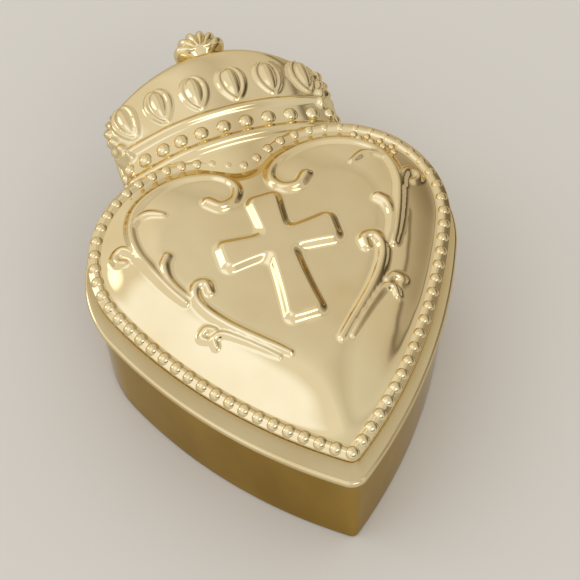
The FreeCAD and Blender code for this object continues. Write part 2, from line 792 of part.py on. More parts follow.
def spring_housing():
    outer = rod(HOUSING_RADIUS, ARBOR_X, MOVEMENT_Y, BED_Z, HOUSING_Z)
    inner = rod(HOUSING_RADIUS - SHEET, ARBOR_X, MOVEMENT_Y, BED_Z - 1, HOUSING_Z - SHEET)
    bore = rod(ARBOR_RADIUS + RUNNING_FIT, ARBOR_X, MOVEMENT_Y, BED_Z, HOUSING_Z + 1)
    return outer.cut(inner).cut(bore)


def mainspring():
    """Flat strip wound in a spiral between core and housing."""
    inner = SPRING_CORE + 0.6
    outer = HOUSING_RADIUS - SHEET - 0.4 - SPRING_STRIP
    sides = 16
    count = sides * SPRING_TURNS
    ring = []
    for i in range(count + 1):
        radius = inner + (outer - inner) * i / count
        angle = 2 * math.pi * i / sides
        ring.append((ARBOR_X + radius * math.cos(angle), MOVEMENT_Y + radius * math.sin(angle)))
    for i in range(count, -1, -1):
        radius = inner + (outer - inner) * i / count + SPRING_STRIP
        angle = 2 * math.pi * i / sides
        ring.append((ARBOR_X + radius * math.cos(angle), MOVEMENT_Y + radius * math.sin(angle)))
    return prism(ring, BED_Z + 0.6, HOUSING_Z - SHEET - 0.6)


# Toothed wheels
def tooth_ring(count, root, tip, root_half, tip_half, phase):
    """Plan points of straight-sided teeth around a wheel."""
    points = []
    for i in range(count):
        middle = 2 * math.pi * (i + phase) / count
        for radius, half in ((root, -root_half), (tip, -tip_half), (tip, tip_half), (root, root_half)):
            angle = middle + half / radius
            points.append((radius * math.cos(angle), radius * math.sin(angle)))
    return points


def spur(points, bore, y, z, x0, x1):
    """Toothed plate square to X with a round bore."""
    ring = [Vector(x0, y + a, z + b) for a, b in points]
    face = Part.Face(Part.makePolygon(ring + ring[:1]))
    plate = face.extrude(Vector(x1 - x0, 0, 0))
    return plate.cut(rod_x(bore, y, z, x0 - 1, x1 + 1))


def face_wheel():
    """Flat wheel with teeth standing on its rim, turning freely on the winding arbor."""
    root = FACE_Z - FACE_DEDENDUM
    tip = FACE_Z + FACE_ADDENDUM
    pitch = math.pi * FACE_MODULE
    inner = FACE_RADIUS - FACE_WIDTH / 2
    outer = FACE_RADIUS + FACE_WIDTH / 2
    disc = rod(outer, ARBOR_X, MOVEMENT_Y, root - FACE_DISC, root)
    hub = rod(ARBOR_RADIUS + 2.2, ARBOR_X, MOVEMENT_Y, root - FACE_DISC, tip)
    parts = [disc, hub]
    low = pitch * 0.24
    high = pitch * 0.13
    ring = [
        Vector(inner, -low, root - 0.3),
        Vector(inner, low, root - 0.3),
        Vector(inner, high, tip),
        Vector(inner, -high, tip),
    ]
    tooth = Part.Face(Part.makePolygon(ring + ring[:1])).extrude(Vector(outer - inner - 0.1, 0, 0))
    for i in range(FACE_TEETH):
        copy = tooth.copy()
        copy.rotate(Vector(0, 0, 0), Vector(0, 0, 1), 360 * i / FACE_TEETH)
        copy.translate(Vector(ARBOR_X, MOVEMENT_Y, 0))
        parts.append(copy)
    shape = parts[0].multiFuse(parts[1:])
    return shape.cut(rod(ARBOR_RADIUS + RUNNING_FIT, ARBOR_X, MOVEMENT_Y, root - 2, tip + 1))


def cylinder_pinion():
    pitch = math.pi * FACE_MODULE
    root = PINION_RADIUS - FACE_MODULE
    tip = PINION_RADIUS + FACE_MODULE * 0.75
    points = tooth_ring(PINION_TEETH, root, tip, pitch * 0.19, pitch * 0.10, 0.5)
    x = ARBOR_X + FACE_RADIUS
    half = FACE_WIDTH / 2
    return spur(points, AXLE_RADIUS, MOVEMENT_Y, AXIS_Z, x - half, x + half)


def cylinder_wheel():
    pitch = math.pi * WHEEL_MODULE
    root = WHEEL_RADIUS - WHEEL_MODULE * 1.15
    tip = WHEEL_RADIUS + WHEEL_MODULE * 0.8
    points = tooth_ring(WHEEL_TEETH, root, tip, pitch * 0.25, pitch * 0.12, 0)
    return spur(points, AXLE_RADIUS, MOVEMENT_Y, AXIS_Z, WHEEL_X, WHEEL_X + WHEEL_THICK)


def governor_pinion():
    pitch = math.pi * WHEEL_MODULE
    root = GOVERNOR_RADIUS - WHEEL_MODULE * 1.1
    tip = GOVERNOR_RADIUS + WHEEL_MODULE * 0.7
    points = tooth_ring(GOVERNOR_TEETH, root, tip, pitch * 0.17, pitch * 0.10, 0.5)
    return spur(points, GOVERNOR_AXLE, GOVERNOR_Y, AXIS_Z, WHEEL_X - 0.2, WHEEL_X + WHEEL_THICK + 0.3)


def worm_wheel():
    pitch = math.pi * WORM_MODULE
    root = WORM_WHEEL_RADIUS - WORM_MODULE * 1.1
    tip = WORM_WHEEL_RADIUS + WORM_MODULE * 0.7
    points = tooth_ring(WORM_WHEEL_TEETH, root, tip, pitch * 0.22, pitch * 0.10, 0.5)
    half = WHEEL_THICK / 2
    return spur(points, GOVERNOR_AXLE, GOVERNOR_Y, AXIS_Z, WORM_X - half, WORM_X + half)


# Cylinder, comb and governor
def cylinder_drum():
    outer = rod_x(DRUM_RADIUS, MOVEMENT_Y, AXIS_Z, DRUM_X0, DRUM_X0 + DRUM_LENGTH)
    return outer.cut(rod_x(DRUM_RADIUS - DRUM_WALL, MOVEMENT_Y, AXIS_Z, DRUM_X0 - 1, DRUM_X0 + DRUM_LENGTH + 1))


def cylinder_caps():
    caps = []
    for x in (DRUM_X0, DRUM_X0 + DRUM_LENGTH - PLATE):
        cap = rod_x(DRUM_RADIUS - DRUM_WALL, MOVEMENT_Y, AXIS_Z, x, x + PLATE)
        caps.append(cap.cut(rod_x(AXLE_RADIUS, MOVEMENT_Y, AXIS_Z, x - 1, x + PLATE + 1)))
    return Part.makeCompound(caps)


def note_x(note):
    middle = DRUM_X0 + DRUM_LENGTH / 2
    return middle + (note - (NOTES - 1) / 2) * NOTE_PITCH


def cylinder_pins():
    """Pins set in the drum: a broken chord that climbs and falls once a turn."""
    pins = []
    for step in range(PIN_STEPS):
        wave = math.sin(2 * math.pi * step / PIN_STEPS)
        note = round((NOTES - 5) / 2 * (1 + wave)) + 2 * (step % 3)
        pin = box(
            note_x(note) - PIN_SIDE / 2, note_x(note) + PIN_SIDE / 2,
            -PIN_SIDE / 2, PIN_SIDE / 2,
            DRUM_RADIUS - PIN_SINK, DRUM_RADIUS + PIN_RISE,
        )
        pin.rotate(Vector(0, 0, 0), Vector(1, 0, 0), 360 * (step + 0.5) / PIN_STEPS)
        pin.translate(Vector(0, MOVEMENT_Y, AXIS_Z))
        pins.append(pin)
    return Part.makeCompound(pins)


def cylinder_arbor():
    start = ARBOR_X + FACE_RADIUS - FACE_WIDTH / 2 - 0.4
    return rod_x(AXLE_RADIUS, MOVEMENT_Y, AXIS_Z, start, cheek_x() + PLATE + 0.3)


def comb():
    half = NOTES * NOTE_PITCH / 2
    middle = DRUM_X0 + DRUM_LENGTH / 2
    y0 = MOVEMENT_Y + COMB_BACK_Y
    y1 = MOVEMENT_Y + COMB_ROOT_Y
    tip = MOVEMENT_Y - DRUM_RADIUS - PIN_RISE - PLUCK_GAP
    parts = [box(middle - half, middle + half, y0, y1, COMB_Z, COMB_Z + COMB_THICK)]
    low = AXIS_Z - TOOTH_THICK / 2
    for note in range(NOTES):
        side = (NOTE_PITCH - NOTE_GAP) / 2
        x = note_x(note)
        parts.append(box(x - side, x + side, y1 - 0.5, tip, low, low + TOOTH_THICK))
    shape = join(parts)
    for x, y in comb_screw_points():
        shape = shape.cut(rod(SCREW_RADIUS, x, y, COMB_Z - 1, COMB_Z + 3))
    return shape


def governor_arbor():
    return rod_x(GOVERNOR_AXLE, GOVERNOR_Y, AXIS_Z, WHEEL_X - 0.2, bracket_x() + PLATE)


def worm_shaft():
    """Upright shaft with pivots, and a right-hand worm beside the worm wheel."""
    height = WORM_LEAD * WORM_TURNS
    low = AXIS_Z - height / 2
    root = WORM_RADIUS - WORM_MODULE
    parts = [
        rod(PIVOT, WORM_X, WORM_Y, FLOOR_Z + 1.2, arm_z() + PLATE),
        rod(PIVOT + 0.4, WORM_X, WORM_Y, BED_Z + 0.4, arm_z() - 0.4),
        rod(root, WORM_X, WORM_Y, low - 1.2, AXIS_Z + height / 2 + 1.2),
    ]
    wide = WORM_LEAD * 0.20
    thin = WORM_LEAD * 0.09
    tip = WORM_RADIUS + WORM_MODULE * 0.7
    corners = ((root - 0.15, -wide), (tip, -thin), (tip, thin), (root - 0.15, wide))
    rings = []
    for i in range(WORM_SIDES * WORM_TURNS + 1):
        angle = math.radians(WORM_PHASE) + 2 * math.pi * i / WORM_SIDES
        ring = []
        for radius, rise in corners:
            z = low + WORM_LEAD * i / WORM_SIDES + rise
            ring.append(Vector(WORM_X + radius * math.cos(angle), WORM_Y + radius * math.sin(angle), z))
        rings.append(Part.makePolygon(ring + ring[:1]))
    thread = Part.makeLoft(rings, True, True)
    return parts[0].multiFuse(parts[1:] + [thread])


def fan():
    low = BED_Z + FAN_LOW - BED_THICK
    hub = rod(1.7, WORM_X, WORM_Y, low, low + FAN_HEIGHT)
    wing = box(
        WORM_X - FAN_REACH + 0.1, WORM_X + FAN_REACH - 0.1,
        WORM_Y - 0.3, WORM_Y + 0.3, low, low + FAN_HEIGHT,
    )
    bore = rod(PIVOT + 0.4, WORM_X, WORM_Y, low - 1, low + FAN_HEIGHT + 1)
    return hub.fuse(wing).cut(bore)


# Stop lever
def stop_lever():
    reach = math.hypot(WORM_X - LEVER_X, WORM_Y - LEVER_Y) - FAN_REACH - LEVER_GAP
    angle = math.degrees(math.atan2(WORM_Y - LEVER_Y, WORM_X - LEVER_X))
    ring = rod(POST_RADIUS + 1.6, 0, 0, 0, SHEET)
    finger = box(0, reach, -0.8, 0.8, 0, SHEET)
    finger.rotate(Vector(0, 0, 0), Vector(0, 0, 1), angle)
    tab = box(-LEVER_HALF, LEVER_HALF, 0, LEVER_TAB, 0, SHEET)
    shape = join([ring, finger, tab])
    shape.translate(Vector(LEVER_X, LEVER_Y, LEVER_Z))
    return shape.cut(rod(POST_RADIUS + RUNNING_FIT, LEVER_X, LEVER_Y, LEVER_Z - 1, LEVER_Z + 2))


def lever_post():
    pin = rod(POST_RADIUS, LEVER_X, LEVER_Y, FLOOR_Z, LEVER_Z + SHEET + 0.3)
    shoulder = rod(POST_RADIUS + 0.9, LEVER_X, LEVER_Y, BED_Z, LEVER_Z - 0.3)
    head = rod(POST_RADIUS + 1.1, LEVER_X, LEVER_Y, LEVER_Z + SHEET + 0.3, LEVER_Z + SHEET + 1.4)
    return join([pin, shoulder, head])


# Fasteners
def comb_screws():
    seat = COMB_Z + COMB_THICK
    return Part.makeCompound([screw(x, y, seat, COMB_THICK + 4.5, True) for x, y in comb_screw_points()])


def frame_screws():
    seat = BED_Z + FOOT_PLATE
    return Part.makeCompound([screw(x, y, seat, FOOT_PLATE + 2.0, True) for x, y in frame_screw_points()])


def mounting_screws():
    seat = FLOOR_Z - FLOOR_THICK
    return Part.makeCompound([screw(x, y, seat, FLOOR_THICK + 2.3, False) for x, y in mount_points()])


os.makedirs("parts", exist_ok=True)

outside = lid_outside()
save("base_shell", base_shell())
save("lid_shell", lid_shell(outside))
save("lid_bead_border", lid_bead_border())
save("lid_cross", lid_cross(outside))
save("lid_scrolls", lid_scrolls(outside))
save("crown_band", crown_band(outside))
save("crown_jewels", crown_jewels(outside))
save("crown_finial", crown_finial(outside))
save("bedplate", bedplate())
save("left_cheek", left_cheek())
save("right_cheek", right_cheek())
save("governor_bracket", governor_bracket())
save("key_bush", key_bush())
save("movement_cover", movement_cover())
save("winding_key", winding_key())
save("winding_arbor", winding_arbor())
save("arbor_clip", arbor_clip())
save("spring_housing", spring_housing())
save("mainspring", mainspring())
save("drive_wheel", face_wheel())
save("cylinder_pinion", cylinder_pinion())
save("cylinder_wheel", cylinder_wheel())
save("cylinder_drum", cylinder_drum())
save("cylinder_caps", cylinder_caps())
save("cylinder_pins", cylinder_pins())
save("cylinder_arbor", cylinder_arbor())
save("comb", comb())
save("comb_screws", comb_screws())
save("governor_pinion", governor_pinion())
save("governor_arbor", governor_arbor())
save("worm_wheel", worm_wheel())
save("worm_shaft", worm_shaft())
save("fan", fan())
save("stop_lever", stop_lever())
save("lever_post", lever_post())
save("frame_screws", frame_screws())
save("mounting_screws", mounting_screws())
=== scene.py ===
# %% [markdown]
# A wind-up music box: a heart and a crown in gold lustre over glazed earthenware, with a lift-off
# lid and a small movement inside. The CAD frame holds the movement, every joint and the plan that
# the surfaces follow. This lesson adds what CAD leaves out: cast and glazed surfaces, their
# finishes, the light and the camera.

# %% Load the frame
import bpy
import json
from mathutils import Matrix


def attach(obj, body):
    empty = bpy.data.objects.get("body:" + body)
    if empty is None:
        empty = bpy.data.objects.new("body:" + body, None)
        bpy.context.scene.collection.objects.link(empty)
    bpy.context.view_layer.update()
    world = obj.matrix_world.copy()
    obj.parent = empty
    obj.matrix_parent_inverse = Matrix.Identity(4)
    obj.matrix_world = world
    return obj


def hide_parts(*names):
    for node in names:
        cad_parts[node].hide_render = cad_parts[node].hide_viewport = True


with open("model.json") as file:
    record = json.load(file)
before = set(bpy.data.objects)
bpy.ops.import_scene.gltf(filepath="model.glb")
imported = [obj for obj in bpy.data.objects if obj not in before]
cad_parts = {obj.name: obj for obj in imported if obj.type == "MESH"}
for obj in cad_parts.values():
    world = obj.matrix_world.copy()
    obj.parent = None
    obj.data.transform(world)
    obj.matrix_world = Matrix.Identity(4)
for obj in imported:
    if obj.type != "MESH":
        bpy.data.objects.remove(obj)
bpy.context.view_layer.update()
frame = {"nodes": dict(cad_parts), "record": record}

import json
import math

import bpy
import numpy as np
from mathutils import Matrix, Vector

MM = 0.001

# %% [markdown]
# Cast ware has no flat facets: a plaster mould is carved once, and glaze rounds every edge. Such a
# surface could be sculpted by hand. Rings of points swept from the outline are exact, and a number
# changes them. This helper joins rings of equal length with four-sided faces and closes the ends.

# %% Join rings into a surface
def loft(rings, start=None, end=None):
    """Vertices and faces of rings joined in turn, each end closed by a point if one is given."""
    count = len(rings[0])
    verts = np.concatenate(rings)
    step = np.arange(count)
    turn = np.roll(step, -1)
    faces = []
    for low in range(0, (len(rings) - 1) * count, count):
        high = low + count
        faces += np.stack([low + step, low + turn, high + turn, high + step], axis=1).tolist()
    extra = []
    if start is not None:
        extra.append(start)
        faces += [[len(verts), int(b), int(a)] for a, b in zip(step, turn)]
    if end is not None:
        extra.append(end)
        top, point = (len(rings) - 1) * count, len(verts) + len(extra) - 1
        faces += [[point, int(a) + top, int(b) + top] for a, b in zip(step, turn)]
    if extra:
        verts = np.concatenate([verts, np.array(extra, float)])
    return verts, faces


def many(parts):
    """Several vertex and face lists as one."""
    verts, faces, base = [], [], 0
    for points, polygons in parts:
        verts.append(np.asarray(points, float))
        faces += [[base + i for i in polygon] for polygon in polygons]
        base += len(points)
    return np.concatenate(verts), faces


print("two rings of four points give", len(loft([np.zeros((4, 3)), np.ones((4, 3))])[1]), "faces")

# %% [markdown]
# Each surface becomes one Blender object. It rides on a body of the frame, so that it moves with the joints,
# and it may stand in for CAD nodes.

# %% Make a piece
def piece(name, verts, faces, body, slot, material, stands_for=()):
    """A smooth mesh piece from points in millimetres, riding on a body."""
    mesh = bpy.data.meshes.new(name)
    mesh.from_pydata((np.asarray(verts) * MM).tolist(), [], faces)
    mesh.update()
    mesh.shade_smooth()
    mesh.materials.append(material)
    obj = bpy.data.objects.new(name, mesh)
    bpy.context.scene.collection.objects.link(obj)
    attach(obj, body)
    if stands_for:
        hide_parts(*stands_for)
    print(name, len(mesh.vertices), "points")


# %% [markdown]
# Every finish below is built from the same few shader nodes. They could be placed by hand in the
# shader editor. A function that adds a node, sets its values and links it in one line keeps each
# finish short enough to read. Colours are written as a paint chart gives them, and turned into the
# linear values that the renderer works in.

# %% Nodes and colours
def linear(code):
    """Linear colour of an sRGB hex code."""
    parts = [int(code[i:i + 2], 16) / 255 for i in (1, 3, 5)]
    return tuple(c / 12.92 if c <= 0.04045 else ((c + 0.055) / 1.055) ** 2.4 for c in parts) + (1.0,)


def plug(tree, node, inputs):
    """Set each input of a node to a value, or link it to another node's output."""
    for key, value in inputs.items():
        if isinstance(value, bpy.types.NodeSocket):
            tree.links.new(value, node.inputs[key])
        else:
            node.inputs[key].default_value = value


def add(tree, kind, inputs=None, stops=(), **settings):
    """One node with its settings and inputs; stops are the places and colours of a ramp, its ends first."""
    node = tree.nodes.new(kind)
    for key, value in settings.items():
        setattr(node, key, value)
    plug(tree, node, inputs or {})
    for i, (position, code) in enumerate(stops):
        elements = node.color_ramp.elements
        stop = elements[i] if i < 2 else elements.new(position)
        stop.position, stop.color = position, linear(code)
    return node


def finish(name):
    """A new material with its node tree, its shader and its place on the object."""
    material = bpy.data.materials.new(name)
    material.use_nodes = True
    tree = material.node_tree
    place = add(tree, "ShaderNodeTexCoord").outputs["Object"]
    return material, tree, tree.nodes["Principled BSDF"], place


def per_mm(size):
    """Noise scale that gives a pattern of this size in millimetres."""
    return 1 / (size * MM)


print("mid grey in linear light", round(linear("#808080")[0], 3))

# %% [markdown]
# Gold lustre is a film of metal fired onto white glaze. It mirrors like polished brass but keeps
# the glaze's slow waves, so straight reflections wander. A pure mirror would look like chrome. A
# low roughness that drifts, a faint drift of colour where the film is thinner, and a bump some
# 15 mm long make it fired ware.

# %% Gold lustre
GLAZE_WAVE, GLAZE_SPECK = 15, 6


def gold_lustre(name, thick, thin, edge, patch, drawn):
    """Lustre from the colours of thick and thin film and of grazing light, in patches that run down."""
    material, tree, shader, place = finish(name)
    run = add(tree, "ShaderNodeMapping", {"Vector": place, "Scale": (1.0, 1.0, 1 / drawn)})
    cloud = add(tree, "ShaderNodeTexNoise",
                {"Vector": run.outputs["Vector"], "Scale": per_mm(patch), "Detail": 3.0})
    film = add(tree, "ShaderNodeValToRGB", {"Fac": cloud.outputs["Fac"]}, [(0.35, thick), (0.65, thin)])
    speck = add(tree, "ShaderNodeTexNoise", {"Vector": place, "Scale": per_mm(GLAZE_SPECK), "Detail": 4.0})
    rough = add(tree, "ShaderNodeMapRange", {"Value": speck.outputs["Fac"], "To Min": 0.03, "To Max": 0.07})
    wave = add(tree, "ShaderNodeTexNoise", {"Vector": place, "Scale": per_mm(GLAZE_WAVE), "Detail": 1.0})
    bump = add(tree, "ShaderNodeBump", {"Height": wave.outputs["Fac"], "Strength": 0.12, "Distance": 0.0012})
    plug(tree, shader, {
        "Metallic": 1.0, "Specular Tint": linear(edge), "Base Color": film.outputs["Color"],
        "Roughness": rough.outputs["Result"], "Normal": bump.outputs["Normal"],
    })
    return material


# On the lid it reads thin and pale: soft, bright mirror images with a hint of yellow.
lid_gold = gold_lustre("gold_lustre_on_glaze", "#DDC99C", "#E7D8B0", "#F4E8CA", 38, 1)
# On the walls the same lustre is painted darker, a brownish gold that stands as painted shade for the dark
# surroundings the walls mirror, in patches that run down, whose edges flash pale.
shaded_wall_gold = gold_lustre("gold_lustre_painted_shade", "#9A7A3C", "#AE8E4A", "#ECE4CA", 26, 2)
print("lustre", lid_gold.name, shaded_wall_gold.name)

# %% [markdown]
# Seen from above the box is a heart with a crown behind it, all arcs that run into each other: a
# small round at the tip, a long flank, a lobe, and the crown's sides and back. It could be drawn
# as a curve. Arcs suit a wall better: moving one in by the wall's thickness only changes its
# radius, so one function with an inset gives every ring.

# %% Sizes of the plan
LOBE_X, LOBE = 22.5, 39.5
FLANK = 176.0
TIP, NOTCH, JOIN, CORNER = 6.0, 3.0, 3.0, 10.0
CROWN_HALF, CROWN_ARC, CROWN_MID, CROWN_ROOT = 38.5, 56.0, 23.0, 18.0
TIP_REACH = 88.5

# The flank's arc touches the lobe's and, drawn on, passes the sharp point of the tip. Together these
# put its centre on a line, y = base + slope * x, at the x that solves a quadratic.
slope = -LOBE_X / TIP_REACH
base = (FLANK ** 2 - (FLANK - LOBE) ** 2 + LOBE_X ** 2 - TIP_REACH ** 2) / (2 * TIP_REACH)
square = 1 + slope ** 2
half_linear = slope * (base + TIP_REACH)
constant = (base + TIP_REACH) ** 2 - FLANK ** 2
FLANK_X = (-half_linear - math.sqrt(half_linear ** 2 - square * constant)) / square
FLANK_Y = base + slope * FLANK_X
NOTCH_Y = math.sqrt((LOBE + NOTCH) ** 2 - LOBE_X ** 2)
JOIN_X = CROWN_HALF + JOIN
JOIN_Y = math.sqrt((LOBE + JOIN) ** 2 - (JOIN_X - LOBE_X) ** 2)
print("flank centre", round(FLANK_X, 2), round(FLANK_Y, 2), "notch", round(NOTCH_Y, 2))

# %% [markdown]
# The heart's right half is a chain of arcs from the tip to the notch. Mirroring it could be left to
# a modifier. Here the points themselves are mirrored, so that the ring is closed and in order.

# %% Ring of the heart
def sweep(x, y, radius, start, end, count):
    """Points of an arc, its last point left to the next arc."""
    angle = start + (end - start) * np.arange(count) / count
    return np.stack([x + radius * np.cos(angle), y + radius * np.sin(angle)], axis=1)


def whole(half):
    """Closed ring from the points of its right half."""
    left = half[1:-1][::-1] * np.array([-1, 1])
    return np.concatenate([half, left])


def lower_right(inset, counts):
    """Tip round and flank of the right half, and the angle at which the lobe takes over."""
    radius = max(TIP - inset, 1.0)
    tip_y = FLANK_Y - math.sqrt((FLANK - inset - radius) ** 2 - FLANK_X ** 2)
    leave = math.atan2(tip_y - FLANK_Y, -FLANK_X)
    meet = math.atan2(-FLANK_Y, LOBE_X - FLANK_X)
    return [
        sweep(0, tip_y, radius, -math.pi / 2, leave, counts[0]),
        sweep(FLANK_X, FLANK_Y, FLANK - inset, leave, meet, counts[1]),
    ], meet


def heart_ring(inset):
    parts, meet = lower_right(inset, (12, 150))
    notch_way = math.atan2(NOTCH_Y, -LOBE_X)
    parts.append(sweep(LOBE_X, 0, LOBE - inset, meet, notch_way, 170))
    parts.append(sweep(0, NOTCH_Y, NOTCH + inset, notch_way - math.pi, -math.pi / 2, 20))
    parts.append(np.array([[0, NOTCH_Y - NOTCH - inset]]))
    return whole(np.concatenate(parts))


print("heart ring", len(heart_ring(0)), "points")

# %% [markdown]
# The crown has straight sides, round back corners and an arched back. The box below is one wall
# round both shapes, so it needs a ring that leaves the lobe and runs on along the crown.

# %% Rings of the crown and of the box
def line(x0, y0, x1, y1, count):
    share = (np.arange(count) / count)[:, None]
    return np.array([x0, y0]) + share * np.array([x1 - x0, y1 - y0])


def crown_back(inset, y, counts):
    """Crown's right side from a place y in plan, round the corner to the middle of the back."""
    radius = max(CORNER - inset, 1.0)
    side = CROWN_HALF - inset
    x = side - radius
    corner_y = CROWN_MID + math.sqrt((CROWN_ARC - inset - radius) ** 2 - x * x)
    meet = math.atan2(corner_y - CROWN_MID, x)
    return [
        line(side, y, side, corner_y, counts[0]),
        sweep(x, corner_y, radius, 0, meet, counts[1]),
        sweep(0, CROWN_MID, CROWN_ARC - inset, meet, math.pi / 2, counts[2]),
        np.array([[0, CROWN_MID + CROWN_ARC - inset]]),
    ]


def crown_ring(inset):
    parts = [line(0, CROWN_ROOT, CROWN_HALF - inset, CROWN_ROOT, 30)]
    parts += crown_back(inset, CROWN_ROOT, (110, 40, 70))
    return whole(np.concatenate(parts))


def outline_ring(inset):
    parts, meet = lower_right(inset, (8, 60))
    way = math.atan2(JOIN_Y, JOIN_X - LOBE_X)
    parts.append(sweep(LOBE_X, 0, LOBE - inset, meet, way, 50))
    parts.append(sweep(JOIN_X, JOIN_Y, JOIN + inset, way + math.pi, math.pi, 14))
    parts += crown_back(inset, JOIN_Y, (16, 12, 30))
    return whole(np.concatenate(parts))


print("crown ring", len(crown_ring(0)), "points, box ring", len(outline_ring(0)))

# %% [markdown]
# A ring becomes part of a surface once it has a height. Rims and coves are drawn as a few knots of
# height and inset, as a potter cuts a template, and a smooth line through the knots fills them in.

# %% Rings at a height
def at(ring, z):
    """Plan ring at one height, or at a height for each point."""
    return np.column_stack([ring, np.broadcast_to(z, len(ring))])


def smooth_profile(knots, count):
    """Points of a smooth line through knots."""
    knots = np.array(knots, float)
    padded = np.concatenate([knots[:1] * 2 - knots[1:2], knots, knots[-1:] * 2 - knots[-2:-1]])
    points = []
    for s in np.linspace(0, len(knots) - 1, count):
        i = min(int(s), len(knots) - 2)
        t = s - i
        a, m, n, d = padded[i:i + 4]
        points.append(0.5 * (2 * m + (n - a) * t + (2 * a - 5 * m + 4 * n - d) * t ** 2
                             + (3 * m - a - 3 * n + d) * t ** 3))
    return points


def shrink(ring, centre, shares, height):
    """Rings drawn in towards a centre, at a height worked out for each point."""
    rings = []
    for share in shares:
        flat = centre + share * (ring - centre)
        rings.append(at(flat, height(*flat.T)))
    return rings


def at_point(height, x, y):
    """A height function's value at a single point."""
    return float(height(np.array([x]), np.array([y]))[0])


print("a curve through 3 knots", np.round(smooth_profile([(0, 0), (1, 2), (2, 0)], 5), 2).tolist())

# %% [markdown]
# The lid's dome rises from the bead ledge and lies nearly flat in the middle. Its height at a point
# depends on how far that point lies inside the outline, which follows from the same arcs. The two
# flanks meet in a ridge towards the tip, and a softened distance rounds it, as glaze does.

# %% Height of the dome
SEAM, LEDGE, DOME_RISE = 44.6, 59.5, 7.0
DOME_EDGE, DOME_FLAT = 7.2, 27.0
RIDGE_ROUND, DOME_FOOT = 6.0, 1.6


def heart_depth(x, y):
    """Distance in from the lip's outline, the ridge at the tip rounded."""
    side = np.abs(x)
    soft = side + RIDGE_ROUND * np.exp(-side / RIDGE_ROUND)
    flank = FLANK - np.hypot(soft - FLANK_X, y - FLANK_Y)
    lobe = LOBE - np.hypot(side - LOBE_X, y)
    notch = np.hypot(x, y - NOTCH_Y) - NOTCH
    in_lobe = (LOBE_X - FLANK_X) * (y - FLANK_Y) + FLANK_Y * (side - FLANK_X) > 0
    in_notch = LOBE_X * (y - NOTCH_Y) + NOTCH_Y * side < 0
    return np.where(in_notch, np.minimum(notch, flank), np.where(in_lobe, lobe, flank))


def dome(x, y):
    rise = heart_depth(x, y) - DOME_EDGE
    rise = 0.5 * (rise + np.sqrt(rise * rise + DOME_FOOT ** 2))
    share = np.clip(rise / (DOME_FLAT - DOME_EDGE), 0, 1)
    return LEDGE + DOME_RISE * (1 - (1 - share) ** 2)


print("dome above the ledge", round(at_point(dome, 0, -10) - LEDGE, 1), "at the tip",
      round(at_point(dome, 0, -70) - LEDGE, 1))

# %% [markdown]
# A cross stands on the dome. On the real lid it was modelled in clay and cast with it, so its foot
# runs into the dome, and a loose piece laid on top would show a seam. It is a height added to the
# dome instead: two bars with round corners and flared ends, joined with a soft inner corner.

# %% Cross as a height
CROSS_X, UPRIGHT_Y, ARMS_Y = 0.8, -13.2, -8.0
UPRIGHT_REACH, ARMS_REACH = 24.0, 19.6
CROSS_RISE, CROSS_SLOPE, CROSS_FOOT = 2.2, 3.2, 1.3


def smooth_step(value):
    value = np.clip(value, 0, 1)
    return value * value * (3 - 2 * value)


def soft_least(a, b, width):
    """The smaller of two values, the corner between them rounded."""
    mix = np.clip(0.5 + 0.5 * (b - a) / width, 0, 1)
    return b + (a - b) * mix - width * mix * (1 - mix)


def bar(across, along, half, reach, round_off):
    """Distance outside a bar with round corners, below zero inside."""
    u = np.abs(across) - half + round_off
    v = np.abs(along) - reach + round_off
    return np.hypot(np.maximum(u, 0), np.maximum(v, 0)) + np.minimum(np.maximum(u, v), 0) - round_off


def cross_height(x, y):
    x = x - CROSS_X
    upright = bar(x, y - UPRIGHT_Y, 4.6 + 1.5 * ((y + 9) / 24) ** 2, UPRIGHT_REACH, 3.2)
    arms = bar(y - ARMS_Y, x, 4.4 + 1.8 * (x / 19.5) ** 2, ARMS_REACH, 3.6)
    return CROSS_RISE * smooth_step((CROSS_FOOT - soft_least(upright, arms, 3.0)) / CROSS_SLOPE)


print("cross height in the middle", round(at_point(cross_height, CROSS_X, ARMS_Y), 2))

# %% [markdown]
# Scrolls frame the cross. On such ware they are rolled clay cords laid on the model, thick in the
# stem and curled at the ends. A curve with a bevel could make them, but like the cross they have to
# melt into the dome. Each is a path of points with a half width, and a round hump is raised along
# it. The right side is the left one mirrored and stretched, since the two aren't quite alike.

